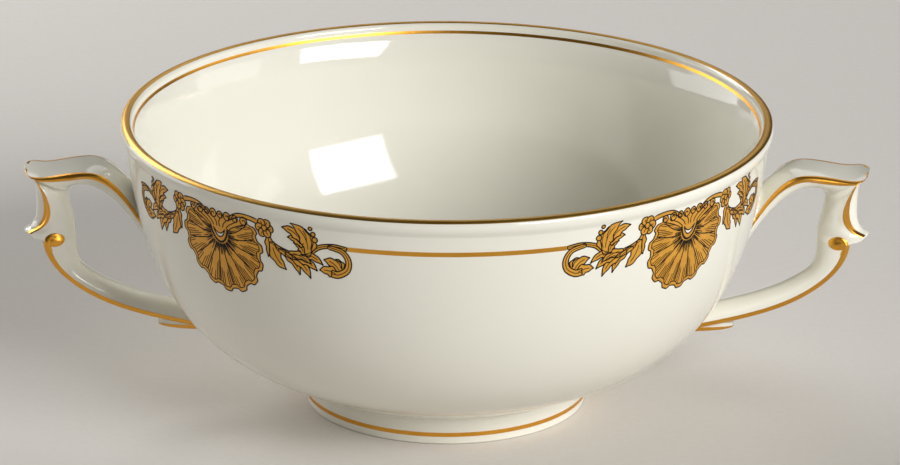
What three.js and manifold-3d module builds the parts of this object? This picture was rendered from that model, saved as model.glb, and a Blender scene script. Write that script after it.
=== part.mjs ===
// A two-handled porcelain cream soup bowl: a turned bowl on a luted foot ring, two moulded scroll
// handles, gilded lines on the edges, and gold shell and acanthus transfers round the wall.
// Millimetres, +Z up. The bowl stands on z = 0, its axis is Z, and the handles lie along X.

import * as THREE from 'three';
import { TessellateModifier } from 'three/addons/modifiers/TessellateModifier.js';
import { mergeVertices } from 'three/addons/utils/BufferGeometryUtils.js';
import Module from 'manifold-3d';

// Bowl: overall sizes, wall and lip
const bowlHeight = 58.3;
const rimRadius = 63.9;
const lipThickness = 2.4;
const lipBand = 3.5; // height of the band under the lip in which the wall turns outwards
const lipFlare = 0.8; // how far the lip stands out from the wall below that band
const flarePull = 0.2; // how far the flare's curve is pulled out at half its height
const wallThickness = 2.6;
const rimSwell = 0.9; // how much thicker the wall is where it swells inwards under the lip
const swellPlace = 14; // how near under the lip that is
const floorThickness = 2.6;
const wellFlat = 23.4; // radius of the nearly flat floor of the well
const bellySpread = 16.8; // pull of the wall's curve at the foot, outwards and up
const bellyRise = 7.5;
const shoulderLean = 4; // pull of the wall's curve below the lip, inwards and down
const shoulderDrop = 37.7;

// Foot ring
const footHeight = 5.6;
const footRadius = 28.6; // where the ring meets the bowl
const footTaper = 0.8; // how much its radius is less at the table
const footWidth = 5.4; // of the ring where it meets the bowl, from its bore to its outer face
const footBoreTaper = 1.2; // how much the bore's radius is more at the table
const footEdge = 0.5; // worn-off corner on both sides of the standing face

// Gilding and transfers: fired films on the glaze
const filmThickness = 0.12;
const filmGap = 0.08; // clearance between a film and the faceted glaze under it
const innerLineDrop = 0.3; // from the end of the rounded lip down to the inner line
const innerLineWidth = 0.6;
const footLineHeight = 1.2; // from the worn edge up to the foot's line
const footLineWidth = 0.9;
const borderLineWidth = 0.95;
const borderLineDrop = 6.7; // from the rim down to the middle of the border line

// Handles: places on the outer edge line, out from the wall at the thumb rest and down from the rest
const handleDrop = 10.5; // from the rim down to the thumb rest
const humpReach = 7.8; // the top of the thumb rest's hump
const tongueReach = 20.6; // the end of the tongue
const tongueLength = 2.5; // from the tongue's shoulders to its end
const tongueLift = 0.8; // how far the end stands above the shoulders
const restDip = 1.1; // how far the thumb rest dips from the hump to the tongue's shoulders
const stemHollow = 4.2; // how far the stem is hollowed behind the tongue and the ledge
const ledgeSetback = 0.3; // the ledge at the foot of the stem, in from the tongue's end
const ledgeDrop = 13.3;
const ledgeDepth = 1.4; // height of the ledge's rounded nose
const scrollSetback = 3.4; // the back of the lower scroll, in from the tongue's end
const elbowReach = 7.8; // where the scroll turns into the lower strap
const elbowRise = 8.2; // the same place, up from where the lower strap meets the wall
const upperJointDrop = 19.6; // where the upper strap runs out on the wall
const lowerJointHeight = 13.4; // where the lower strap meets the wall, above the table
const jointSink = 2.5; // how far a strap runs on inside the wall before it is cut off there
const slipGap = 0.1; // layer of slip between a handle and the wall

// Handles: thickness and half widths of the strap, and the finger hole's corner
const runOutThickness = 1.7; // of the upper strap where it runs out on the wall
const restThickness = 3.4;
const stemThickness = 4;
const stemLean = 1.3; // how much nearer to the wall the stem's inner side is at its foot
const lowerThickness = 3.4;
const holeCornerRadius = 2.4;
const restHalfWidth = 6.1;
const tongueTipHalfWidth = 2.2;
const stemTopPull = 7.2; // half widths that the stem goes towards at its top and at its foot
const stemFootPull = 2.9;
const ledgeHalfWidth = 3.2;
const lowerHalfWidth = 3.8;
const bevel = 0.75; // the gilded edge is a bevel of this width
const edgeLip = 0.25; // how far the edge stands out over the strap's side
const faceCrown = 0.04; // bulge of the strap's outer face, as a share of its half width
const stemCrown = 0.7; // the same at the tongue's end and along the stem
const ledgeCrown = 0.4; // the same at the ledge
const cornerFill = 3; // slip that fills the corner between the upper strap and the wall

// Handles: curvature of the edge line, as the direction and distance it takes from each place before
// it bends to the next: (out, up)
const riseFromWall = [5, 8.5];
const humpFromInside = [-6.5, -0.2];
const humpToOutside = [4, 0.1];
const shoulderFromInside = [-2.8, -0.2];
const shoulderToTip = [1.1, 0.08];
const tipFromShoulder = [-0.4, -0.5];
const stemFallFromTip = 3.8;
const stemRiseFromLedge = 1.2;
const noseFromLedge = [-0.2, -1.4];
const noseToScroll = [1, 0.2];
const scrollFall = [-0.1, -4.8];
const elbowFromScroll = [4.5, 2.5];
const elbowToWall = [-8, -4.5];
const lowerFromWall = [9, 2.5];

// Volute and tail
const beadRadius = 1.5; // eye of the volute
const beadHeight = 0.75; // of the eye's low dome
const beadInset = 3; // from the back of the scroll in to the eye
const beadDrop = 1.3; // from the ledge down to the eye
const curlRadius = 0.45; // half thickness of the gilded curl that ends in the eye
const curlStart = -48; // degrees round the eye, from straight out, where the curl meets the edge line
const curlTurn = 135; // degrees that the curl goes round the eye
const tailReach = 11.6; // how far the tail under the lower strap runs out from the wall
const tailDepth = 4.4; // height of the tail's rounded end, up into the strap
const tailRise = 0.6; // how far the tail's lower edge rises from the wall to its end
const tailInset = 0.65; // from the gilded bevel of the strap in to the side of the tail
const tailLineWidth = 0.8;
const tailLineStart = 0.25; // shares of the tail's lower edge, from the wall, between which it is gilded
const tailLineEnd = 0.875;

// Transfers: flat sizes measured from the umbo of the shell, the point its ribs start from
const motifTurn = 2; // degrees by which the ring of transfers is turned against the handles
const umboDrop = 8.5; // from the rim down to the umbo
const shellHeight = 11.8; // from the umbo down to the middle of the shell's edge
const shellShoulder = 8.6; // from the umbo out to the shell's upper corners
const shellOpening = 116; // degrees between the shell's middle rib and its upper corners
const shellCrest = 4.2; // from the umbo up to the top of the crest
const scallops = 11;
const scallopDepth = 0.45;
const transferGap = 0.3; // bare glaze between a spray or a border line and the transfer next to it
const sprayStart = new THREE.Vector2(2.6, 3.4);
const sprayLength = 25.8; // from the start of a spray out to the border line
const stemWidth = 1.1;
const sprayCurlWidth = 1.4;
const flowerRadius = 1.9;
const flowerWaist = 1.35; // radius of the flower between its petals
const petals = 5;
const smallLeaf = 1.1; // pull of a leaf's two sides, away from its middle line
const lowerLeaf = 1.3;
const upperLeaf = 2;
const leafBroadest = 0.4; // share of a leaf's length, from its base, where its sides are pulled out

// Facets
const wallFacets = 52;
const wallSteps = 10;
const lipSteps = 6;
const giltLipStart = 1; // the steps of the lip, from outside, between which it is gilded
const giltLipEnd = 4;
const filmEdge = 6; // longest triangle edge in a film that follows the wall
const flareSteps = 2;
const wellSteps = 3;
const tailSteps = 8;
const tailLineSteps = 5;
const lineSteps = 12;
const beadSides = 8;
const beadRings = 6;
const curlSteps = 4;
const arcSteps = 3; // of each curve in an outline
const stemSteps = 9; // of the ribbons in a spray
const sprayCurlSteps = 5;
const filmSplits = 16; // rounds in which a film's long edges are halved
const weldDistance = 1e-4;
const shareAccuracy = 1e-7; // of a place on a curve that is found by halving

const wasm = await Module();
wasm.setup();

const bowl = new THREE.Group();

function glaze() {
  return new THREE.MeshStandardMaterial({ color: 0xefecdf, roughness: 0.12, metalness: 0 });
}

function gold() {
  return new THREE.MeshStandardMaterial({ color: 0xb58a3e, roughness: 0.3, metalness: 0.9 });
}

function addPiece(parent, name, geometry, material) {
  const mesh = new THREE.Mesh(geometry, material);
  mesh.name = name;
  parent.add(mesh);
}

// Closed geometry with only positions, its shared corners welded and collapsed triangles dropped
function weld(geometry) {
  const bare = new THREE.BufferGeometry();
  bare.setAttribute('position', geometry.getAttribute('position').clone());
  bare.setIndex(geometry.index);
  const welded = mergeVertices(bare, weldDistance);
  const corners = welded.index.array;
  const kept = [];
  for (let i = 0; i < corners.length; i += 3) {
    const [a, b, c] = corners.slice(i, i + 3);
    if (a !== b && b !== c && c !== a) {
      kept.push(a, b, c);
    }
  }
  welded.setIndex(kept);
  return welded;
}

function toSolid(geometry) {
  const welded = weld(geometry);
  const vertProperties = new Float32Array(welded.getAttribute('position').array);
  const triVerts = new Uint32Array(welded.index.array);
  return new wasm.Manifold(new wasm.Mesh({ numProp: 3, vertProperties, triVerts }));
}

function toGeometry(solid) {
  const mesh = solid.getMesh();
  const geometry = new THREE.BufferGeometry();
  geometry.setAttribute('position', new THREE.BufferAttribute(mesh.vertProperties, 3));
  geometry.setIndex(new THREE.BufferAttribute(mesh.triVerts, 1));
  return geometry;
}

// Revolves a profile of (radius, height) points about Z. Angle 0 is the front, at -Y.
function turned(profile) {
  return new THREE.LatheGeometry(profile, wallFacets).rotateX(Math.PI / 2);
}

// A closed band profile on the right of the line from one profile point to another
function bandProfile(from, to, start, width) {
  const along = to.clone().sub(from).normalize();
  const out = new THREE.Vector2(along.y, -along.x);
  const corner = (distance, lift) =>
    from.clone().addScaledVector(along, distance).addScaledVector(out, lift);
  const low = corner(start, filmGap);
  return [
    low,
    corner(start, filmGap + filmThickness),
    corner(start + width, filmGap + filmThickness),
    corner(start + width, filmGap),
    low,
  ];
}

// The outer wall: one curve from the foot to the neck, then a slight flare to the lip
const neck = new THREE.Vector2(rimRadius - lipFlare, bowlHeight - lipBand);
const wallFoot = new THREE.Vector2(footRadius, footHeight);
const wallCurve = new THREE.CubicBezierCurve(
  wallFoot,
  wallFoot.clone().add(new THREE.Vector2(bellySpread, bellyRise)),
  neck.clone().sub(new THREE.Vector2(shoulderLean, shoulderDrop)),
  neck,
);
const lipCentre = new THREE.Vector2(rimRadius - lipThickness / 2, bowlHeight - lipThickness / 2);
const flareCurve = new THREE.QuadraticBezierCurve(
  neck,
  new THREE.Vector2(neck.x + flarePull, (neck.y + lipCentre.y) / 2),
  new THREE.Vector2(rimRadius, lipCentre.y),
);

// Place on a rising curve at a height, found by halving
function shareAtHeight(curve, height) {
  let low = 0;
  let high = 1;
  while (high - low > shareAccuracy) {
    const middle = (low + high) / 2;
    if (curve.getPoint(middle).y < height) {
      low = middle;
    } else {
      high = middle;
    }
  }
  return low;
}

function wallRadius(height) {
  const curve = height < neck.y ? wallCurve : flareCurve;
  return curve.getPoint(shareAtHeight(curve, height)).x;
}

// Bowl body: outer wall, rounded lip, inner wall that swells under the lip, and a flat-bottomed well
const outerProfile = [
  ...wallCurve.getPoints(wallSteps),
  ...flareCurve.getPoints(flareSteps).slice(1),
];
const lipProfile = [];
for (let step = 0; step <= lipSteps; step += 1) {
  const angle = (Math.PI * step) / lipSteps;
  const reach = new THREE.Vector2(Math.cos(angle), Math.sin(angle));
  lipProfile.push(lipCentre.clone().addScaledVector(reach, lipThickness / 2));
}
const innerProfile = [];
for (let step = wallSteps; step > 0; step -= 1) {
  const along = wallCurve.getTangent(step / wallSteps);
  const inward = new THREE.Vector2(-along.y, along.x);
  const thickness = wallThickness + rimSwell * Math.sin(Math.PI * (step / wallSteps) ** swellPlace);
  innerProfile.push(wallCurve.getPoint(step / wallSteps).addScaledVector(inward, thickness));
}
const wellEdge = innerProfile.at(-1);
const wellCentre = new THREE.Vector2(0, footHeight + floorThickness);
const wellCurve = new THREE.QuadraticBezierCurve(
  wellEdge,
  new THREE.Vector2(wellFlat, wellCentre.y),
  wellCentre,
);
const bowlProfile = [
  new THREE.Vector2(0, footHeight),
  ...outerProfile,
  ...lipProfile.slice(1),
  ...innerProfile,
  ...wellCurve.getPoints(wellSteps).slice(1),
];
addPiece(bowl, 'bowl_body', turned(bowlProfile), glaze());

// Everything inside the outer wall, with the slip layer: what the handles are cut off by
const handleCutProfile = [new THREE.Vector2(0, footHeight)];
for (let step = 0; step <= wallSteps; step += 1) {
  const along = wallCurve.getTangent(step / wallSteps);
  const outward = new THREE.Vector2(along.y, -along.x);
  handleCutProfile.push(wallCurve.getPoint(step / wallSteps).addScaledVector(outward, slipGap));
}
handleCutProfile.push(new THREE.Vector2(0, neck.y));
const wallCut = toSolid(turned(handleCutProfile));

// Foot ring
const footBore = footRadius - footWidth;
const footLow = new THREE.Vector2(footRadius - footTaper, footEdge);
const footProfile = [
  new THREE.Vector2(footLow.x - footEdge, 0),
  footLow,
  wallFoot,
  new THREE.Vector2(footBore, footHeight),
  new THREE.Vector2(footBore + footBoreTaper, footEdge),
  new THREE.Vector2(footBore + footBoreTaper + footEdge, 0),
];
addPiece(bowl, 'foot_ring', turned([...footProfile, footProfile[0]]), glaze());

// Gilding that goes right round: over the lip, inside under the lip, and on the foot
const giltLip = lipProfile.slice(giltLipStart, giltLipEnd + 1);
const liftFromLip = (point, lift) =>
  point.clone().addScaledVector(point.clone().sub(lipCentre).normalize(), lift);
const rimProfile = [
  ...giltLip.map((point) => liftFromLip(point, filmGap + filmThickness)),
  ...giltLip.map((point) => liftFromLip(point, filmGap)).reverse(),
];
addPiece(bowl, 'rim_gilding', turned([...rimProfile, rimProfile[0]]), gold());
const innerLine = bandProfile(lipProfile.at(-1), innerProfile[0], innerLineDrop, innerLineWidth);
addPiece(bowl, 'inner_gold_line', turned(innerLine), gold());
const footLine = bandProfile(footLow, wallFoot, footLineHeight, footLineWidth);
addPiece(bowl, 'foot_gold_line', turned(footLine), gold());

// Handle outline, in X and Z. Each stretch has the outer edge line with its half width as Y, and the
// inner line that bounds the finger hole.
const restHeight = bowlHeight - handleDrop;
const wallAtRest = wallRadius(restHeight);
const upperJointHeight = restHeight - upperJointDrop;
const elbowDrop = restHeight - lowerJointHeight - elbowRise;
const ledgeReach = tongueReach - ledgeSetback;
const scrollReach = tongueReach - scrollSetback;

function at(reach, halfWidth, drop) {
  return new THREE.Vector3(wallAtRest + reach, halfWidth, restHeight - drop);
}

function onWallAt(height, halfWidth) {
  return new THREE.Vector3(wallRadius(height) - jointSink, halfWidth, height);
}

const upperJoint = onWallAt(upperJointHeight, restHalfWidth);
const hump = at(humpReach, restHalfWidth, 0);
const shoulder = at(tongueReach - tongueLength, restHalfWidth - edgeLip, restDip);
const tongueTip = at(tongueReach, tongueTipHalfWidth, restDip - tongueLift);
const ledge = at(ledgeReach, ledgeHalfWidth, ledgeDrop);
const scrollTop = at(scrollReach, lowerHalfWidth, ledgeDrop + ledgeDepth);
const elbow = at(elbowReach, lowerHalfWidth, elbowDrop);
const lowerJoint = onWallAt(lowerJointHeight, lowerHalfWidth);

// The point across the strap from a place on its edge line, square to the line's direction there
function across(place, [out, up], thickness) {
  const square = new THREE.Vector3(up, 0, -out).setLength(thickness);
  return place.clone().setY(0).add(square);
}

const stemInner = (tongueReach + ledgeReach) / 2 - stemHollow - stemThickness;
const cornerShare = 1 - Math.SQRT1_2; // of the corner's radius, at the middle of its arc
const cornerInset = cornerShare * holeCornerRadius;
const holeTop = at(stemInner - holeCornerRadius, 0, restThickness);
const holeCorner = at(stemInner - cornerInset, 0, restThickness + cornerInset);
const stemTop = at(stemInner, 0, restThickness + holeCornerRadius);
const stemFoot = at(stemInner - stemLean, 0, ledgeDrop);
const scrollInner = at(stemInner - stemLean, 0, ledgeDrop + ledgeDepth);
const innerUpperJoint = across(upperJoint, riseFromWall, runOutThickness);
const innerElbow = across(elbow, elbowToWall, lowerThickness);
const innerLowerJoint = across(lowerJoint, lowerFromWall, -lowerThickness);

// A cubic from one place to another with the given pulls at its ends, (out, up), and half widths that
// it goes towards there
function stretch(from, fromPull, to, toPull, fromHalf = from.y, toHalf = to.y) {
  const handle = (place, [out, up], half) => new THREE.Vector3(place.x + out, half, place.z + up);
  return new THREE.CubicBezierCurve3(
    from,
    handle(from, fromPull, fromHalf),
    handle(to, toPull, toHalf),
    to,
  );
}

// Pull for an eighth of a circle of the hole's corner radius, and for a straight run down
const cornerPull = (4 / 3) * Math.tan(Math.PI / 16) * holeCornerRadius;
const cornerSlant = cornerPull * Math.SQRT1_2;
const stemThird = (stemTop.z - stemFoot.z) / 3;
const noseThird = (stemFoot.z - scrollInner.z) / 3;
const hollowPull = (4 / 3) * stemHollow; // moves the middle of a cubic by the hollow

const stretches = {
  rise: {
    edge: stretch(upperJoint, riseFromWall, hump, humpFromInside),
    inner: stretch(innerUpperJoint, riseFromWall, holeTop, [humpFromInside[0], 0]),
    crown: [cornerFill / (restHalfWidth - bevel), faceCrown],
    steps: 8,
  },
  rest: {
    edge: stretch(hump, humpToOutside, shoulder, shoulderFromInside),
    inner: stretch(holeTop, [cornerPull, 0], holeCorner, [-cornerSlant, cornerSlant]),
    crown: [faceCrown, faceCrown],
    steps: 5,
  },
  tongue: {
    edge: stretch(shoulder, shoulderToTip, tongueTip, tipFromShoulder, shoulder.y, shoulder.y),
    inner: stretch(holeCorner, [cornerSlant, -cornerSlant], stemTop, [0, cornerPull]),
    crown: [faceCrown, stemCrown],
    steps: 4,
  },
  stem: {
    edge: stretch(
      tongueTip,
      [-hollowPull, -stemFallFromTip],
      ledge,
      [-hollowPull, stemRiseFromLedge],
      stemTopPull,
      stemFootPull,
    ),
    inner: stretch(stemTop, [0, -stemThird], stemFoot, [0, stemThird]),
    crown: [stemCrown, ledgeCrown],
    steps: 9,
  },
  nose: {
    edge: stretch(ledge, noseFromLedge, scrollTop, noseToScroll),
    inner: stretch(stemFoot, [0, -noseThird], scrollInner, [0, noseThird]),
    crown: [ledgeCrown, faceCrown],
    steps: 3,
  },
  scroll: {
    edge: stretch(scrollTop, scrollFall, elbow, elbowFromScroll),
    inner: stretch(scrollInner, scrollFall, innerElbow, elbowFromScroll),
    crown: [faceCrown, faceCrown],
    steps: 6,
  },
  lower: {
    edge: stretch(elbow, elbowToWall, lowerJoint, lowerFromWall),
    inner: stretch(innerElbow, elbowToWall, innerLowerJoint, lowerFromWall),
    crown: [faceCrown, faceCrown],
    steps: 7,
  },
};

// Cross-section of the strap at one place, as a ring of points: a crowned outer face, a bevel on each
// edge, and a rounded inner side with points at shares of its depth. grow swells it all round.
const sideShares = [0.35, 0.62, 0.85];

function strapSection({ edge, inner, crown }, along, grow) {
  const edgePoint = edge.getPoint(along);
  const innerPoint = inner.getPoint(along);
  const halfWidth = edgePoint.y + grow;
  const outward = edgePoint.clone().sub(innerPoint).setY(0).normalize();
  const face = edgePoint.clone().setY(0).addScaledVector(outward, grow);
  const depth = face.distanceTo(innerPoint) + grow;
  const bodyHalf = Math.max(halfWidth - edgeLip, lowerHalfWidth);
  const point = (side, deep) =>
    face.clone().addScaledVector(outward, -deep).add(new THREE.Vector3(0, side, 0));
  const half = [
    [halfWidth - bevel, 0],
    [halfWidth, bevel],
    ...sideShares.map((share) => [bodyHalf * Math.sqrt(1 - share ** 3), share * depth]),
  ];
  const bulge = THREE.MathUtils.lerp(...crown, along) * (halfWidth - bevel);
  return [
    point(0, -bulge),
    ...half.map(([side, deep]) => point(-side, deep)),
    point(0, depth),
    ...half.reverse().map(([side, deep]) => point(side, deep)),
  ];
}

// Rings joined into a closed skin with flat ends
function loft(rings) {
  const size = rings[0].length;
  const corners = [];
  for (let ring = 0; ring < rings.length - 1; ring += 1) {
    for (let i = 0; i < size; i += 1) {
      const a = ring * size + i;
      const b = ring * size + ((i + 1) % size);
      corners.push(a, b, a + size, b, b + size, a + size);
    }
  }
  const last = (rings.length - 1) * size;
  for (let i = 1; i < size - 1; i += 1) {
    corners.push(0, i + 1, i);
    corners.push(last, last + i, last + i + 1);
  }
  const geometry = new THREE.BufferGeometry().setFromPoints(rings.flat());
  geometry.setIndex(corners);
  return geometry;
}

function sections(names, grow) {
  const rings = [];
  for (const name of names) {
    const { steps } = stretches[name];
    for (let step = rings.length ? 1 : 0; step <= steps; step += 1) {
      rings.push(strapSection(stretches[name], step / steps, grow));
    }
  }
  return rings;
}

// The tail: a small tongue of clay under the lower strap, next to the wall
const tailHalfWidth = lowerHalfWidth - bevel - tailInset;
const tailTip = lowerJoint.x + jointSink + tailReach;
const tailCurve = new THREE.CubicBezierCurve(
  new THREE.Vector2(lowerJoint.x, lowerJointHeight - tailRise),
  new THREE.Vector2((lowerJoint.x + tailTip) / 2, lowerJointHeight),
  new THREE.Vector2(tailTip, lowerJointHeight + tailRise),
  new THREE.Vector2(tailTip, lowerJointHeight + tailDepth),
);

function tailGeometry() {
  const outline = new THREE.Shape(tailCurve.getPoints(tailSteps));
  outline.lineTo(lowerJoint.x, lowerJointHeight + tailDepth / 2);
  const slab = new THREE.ExtrudeGeometry(outline, { depth: tailHalfWidth * 2, bevelEnabled: false });
  return slab.translate(0, 0, -tailHalfWidth).rotateX(Math.PI / 2);
}

const handleSolid = toSolid(loft(sections(Object.keys(stretches), 0)))
  .add(toSolid(tailGeometry()))
  .subtract(wallCut);
const grownHandle = toSolid(loft(sections(Object.keys(stretches), filmGap)));

// Gilding on one bevel of the strap, along the named stretches. side is -1 at -Y and 1 at +Y.
function edgeGilding(names, side) {
  const edges = sections(names, 0).map((ring) => {
    const last = ring.length - 1;
    return side < 0 ? [ring[1], ring[2]] : [ring[last], ring[last - 1]];
  });
  const rings = edges.map(([faceCorner, sideCorner], number) => {
    const [before] = edges[Math.max(number - 1, 0)];
    const [after] = edges[Math.min(number + 1, edges.length - 1)];
    const along = after.clone().sub(before);
    const across = sideCorner.clone().sub(faceCorner);
    const lift = across.cross(along).multiplyScalar(-side).normalize();
    const film = [
      faceCorner.clone().addScaledVector(lift, filmGap),
      sideCorner.clone().addScaledVector(lift, filmGap),
      sideCorner.clone().addScaledVector(lift, filmGap + filmThickness),
      faceCorner.clone().addScaledVector(lift, filmGap + filmThickness),
    ];
    return side < 0 ? film.reverse() : film;
  });
  return toGeometry(toSolid(loft(rings)).subtract(wallCut));
}

// The volute on the strap's side: a gilded eye with a curl that runs back to the scroll's edge
const bead = at(scrollReach - beadInset, lowerHalfWidth - edgeLip, ledgeDrop + beadDrop);

function voluteGilding(side) {
  const eye = new THREE.SphereGeometry(beadRadius, beadSides, beadRings);
  eye.scale(1, beadHeight / beadRadius, 1).translate(bead.x, side * bead.y, bead.z);
  const places = [];
  for (let step = 0; step <= curlSteps; step += 1) {
    const share = step / curlSteps;
    const angle = THREE.MathUtils.degToRad(curlStart + share * curlTurn);
    const reach = THREE.MathUtils.lerp(beadInset - bevel - curlRadius, beadRadius, share);
    const out = Math.cos(angle) * reach;
    const up = Math.sin(angle) * reach;
    places.push(new THREE.Vector3(bead.x + out, side * bead.y, bead.z + up));
  }
  const extrudePath = new THREE.CatmullRomCurve3(places);
  const round = new THREE.Shape().absarc(0, 0, curlRadius, 0, Math.PI * 2);
  const curl = new THREE.ExtrudeGeometry(round, { steps: curlSteps, curveSegments: arcSteps, extrudePath });
  return toGeometry(toSolid(eye).add(toSolid(curl)).subtract(grownHandle));
}

// Gilding along one lower edge of the tail, as far as it is clear of the wall and the strap
function tailGilding(side) {
  const outer = side * tailHalfWidth;
  const inner = side * (tailHalfWidth - tailLineWidth);
  const rings = [];
  for (let step = 0; step <= tailLineSteps; step += 1) {
    const share = THREE.MathUtils.lerp(tailLineStart, tailLineEnd, step / tailLineSteps);
    const along = tailCurve.getTangent(share);
    const below = new THREE.Vector2(along.y, -along.x);
    const on = (lift) => tailCurve.getPoint(share).addScaledVector(below, lift);
    const near = on(filmGap);
    const far = on(filmGap + filmThickness);
    const film = [
      new THREE.Vector3(near.x, outer, near.y),
      new THREE.Vector3(near.x, inner, near.y),
      new THREE.Vector3(far.x, inner, far.y),
      new THREE.Vector3(far.x, outer, far.y),
    ];
    rings.push(side < 0 ? film.reverse() : film);
  }
  return toGeometry(toSolid(loft(rings)).subtract(wallCut).subtract(grownHandle));
}

const gildedEdges = {
  rest_gilding: ['rise', 'rest', 'tongue'],
  stem_gilding: ['stem'],
  lower_gilding: ['scroll', 'lower'],
};

// The left handle is the right one turned half round, so its front pieces come from the back
for (const hand of ['left', 'right']) {
  const turn = new THREE.Group();
  turn.rotation.z = hand === 'left' ? Math.PI : 0;
  bowl.add(turn);
  addPiece(turn, `${hand}_handle`, toGeometry(handleSolid), glaze());
  for (const face of ['front', 'back']) {
    const side = (hand === 'right') === (face === 'front') ? -1 : 1;
    for (const [line, names] of Object.entries(gildedEdges)) {
      addPiece(turn, `${hand}_${line}_${face}`, edgeGilding(names, side), gold());
    }
    addPiece(turn, `${hand}_volute_gilding_${face}`, voluteGilding(side), gold());
    addPiece(turn, `${hand}_tail_gilding_${face}`, tailGilding(side), gold());
  }
}

// Wraps a flat film, with x along the wall, y up from a height and z out, round the wall
function onWall(flat, angle, height) {
  const fine = weld(new TessellateModifier(filmEdge, filmSplits).modify(flat));
  const position = fine.getAttribute('position');
  const wrapRadius = wallRadius(height);
  for (let i = 0; i < position.count; i += 1) {
    const around = angle + position.getX(i) / wrapRadius;
    const up = height + position.getY(i);
    const radius = wallRadius(up) + filmGap + position.getZ(i);
    position.setXYZ(i, radius * Math.sin(around), -radius * Math.cos(around), up);
  }
  return fine;
}

function flatFilm(outline) {
  const settings = { depth: filmThickness, bevelEnabled: false, curveSegments: arcSteps };
  return weld(new THREE.ExtrudeGeometry(outline, settings));
}

// Scallop shell: a fan of lobes below the umbo and a low crest above it. grow widens it all round.
function shellOutline(grow) {
  const opening = THREE.MathUtils.degToRad(shellOpening);
  const points = [];
  const steps = scallops * 2;
  for (let step = 0; step <= steps; step += 1) {
    const share = (2 * step) / steps - 1;
    const wave = step % 2 ? scallopDepth : 0;
    const reach = THREE.MathUtils.lerp(shellHeight, shellShoulder, share ** 2) + wave + grow;
    const angle = share * opening;
    points.push(new THREE.Vector2(Math.sin(angle) * reach, -Math.cos(angle) * reach));
  }
  const outline = new THREE.Shape(points);
  const corner = points[0];
  outline.quadraticCurveTo(0, 2 * (shellCrest + grow) - corner.y, corner.x, corner.y);
  return outline;
}

// A pointed leaf from its base to its tip
function leafOutline(base, tip, width) {
  const along = tip.clone().sub(base);
  const sideways = new THREE.Vector2(-along.y, along.x).setLength(width);
  const middle = base.clone().addScaledVector(along, leafBroadest);
  const left = middle.clone().add(sideways);
  const right = middle.clone().sub(sideways);
  const outline = new THREE.Shape();
  outline.moveTo(base.x, base.y);
  outline.quadraticCurveTo(right.x, right.y, tip.x, tip.y);
  outline.quadraticCurveTo(left.x, left.y, base.x, base.y);
  return outline;
}

// A ribbon along a curve, tapered to a point at its far end
function ribbonOutline(curve, width, steps) {
  const right = [];
  const left = [];
  for (let step = 0; step < steps; step += 1) {
    const share = step / steps;
    const along = curve.getTangent(share);
    const sideways = new THREE.Vector2(-along.y, along.x).setLength((width / 2) * (1 - share ** 4));
    right.push(curve.getPoint(share).sub(sideways));
    left.push(curve.getPoint(share).add(sideways));
  }
  return new THREE.Shape([...right, curve.getPoint(1), ...left.reverse()]);
}

function flowerOutline(centre) {
  const points = [];
  for (let step = 0; step < petals * 2; step += 1) {
    const angle = (Math.PI * step) / petals;
    const reach = step % 2 ? flowerWaist : flowerRadius;
    const lobe = new THREE.Vector2(Math.cos(angle), Math.sin(angle));
    points.push(centre.clone().addScaledVector(lobe, reach));
  }
  return new THREE.Shape(points);
}

// Acanthus spray: an S-shaped stem with a flower, a bud, four leaves and a curled end. Places are
// shares of the spray's length out and up from its start; direction 1 grows to the right, -1 to the left.
function sprayFilm(direction) {
  const place = (out, up) =>
    new THREE.Vector2(
      direction * (sprayStart.x + out * sprayLength),
      sprayStart.y + up * sprayLength,
    );
  const stem = new THREE.SplineCurve([
    place(0, 0),
    place(0.18, 0.05),
    place(0.35, -0.03),
    place(0.42, -0.13),
    place(0.6, -0.16),
    place(0.74, -0.1),
    place(1, -0.06),
  ]);
  const curl = new THREE.SplineCurve([
    place(0.86, -0.07),
    place(0.98, -0.14),
    place(0.99, -0.23),
    place(0.92, -0.28),
    place(0.8, -0.25),
  ]);
  const outlines = [
    ribbonOutline(stem, stemWidth, stemSteps),
    ribbonOutline(curl, sprayCurlWidth, sprayCurlSteps),
    flowerOutline(place(0.34, -0.01)),
    leafOutline(place(0.35, -0.05), place(0.35, -0.22), smallLeaf),
    leafOutline(place(0.68, -0.14), place(0.55, 0.08), upperLeaf),
    leafOutline(place(0.43, -0.13), place(0.47, -0.28), smallLeaf),
    leafOutline(place(0.54, -0.16), place(0.66, -0.31), lowerLeaf),
    leafOutline(place(0.62, -0.15), place(0.8, -0.21), smallLeaf),
  ];
  const solids = outlines.map((outline) => toSolid(flatFilm(outline)));
  const spray = solids.reduce((joined, solid) => joined.add(solid));
  return toGeometry(spray.subtract(toSolid(flatFilm(shellOutline(transferGap)))));
}

const umboHeight = bowlHeight - umboDrop;
const shellFilm = flatFilm(shellOutline(0));
const quarters = ['front_right', 'back_right', 'back_left', 'front_left'];
quarters.forEach((quarter, index) => {
  const angle = ((index + 0.5) / quarters.length) * Math.PI * 2 + THREE.MathUtils.degToRad(motifTurn);
  addPiece(bowl, `${quarter}_shell`, onWall(shellFilm, angle, umboHeight), gold());
  for (const [way, direction] of [['clockwise', 1], ['counter', -1]]) {
    const film = onWall(sprayFilm(direction), angle, umboHeight);
    addPiece(bowl, `${quarter}_spray_${way}`, film, gold());
  }
});

// Border lines: from spray to spray across the front and the back
const lineHeight = bowlHeight - borderLineDrop;
const sprayTurn = (sprayStart.x + sprayLength + transferGap) / wallRadius(umboHeight);
const lineTurn = (Math.PI * 2) / quarters.length - 2 * sprayTurn;

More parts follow.
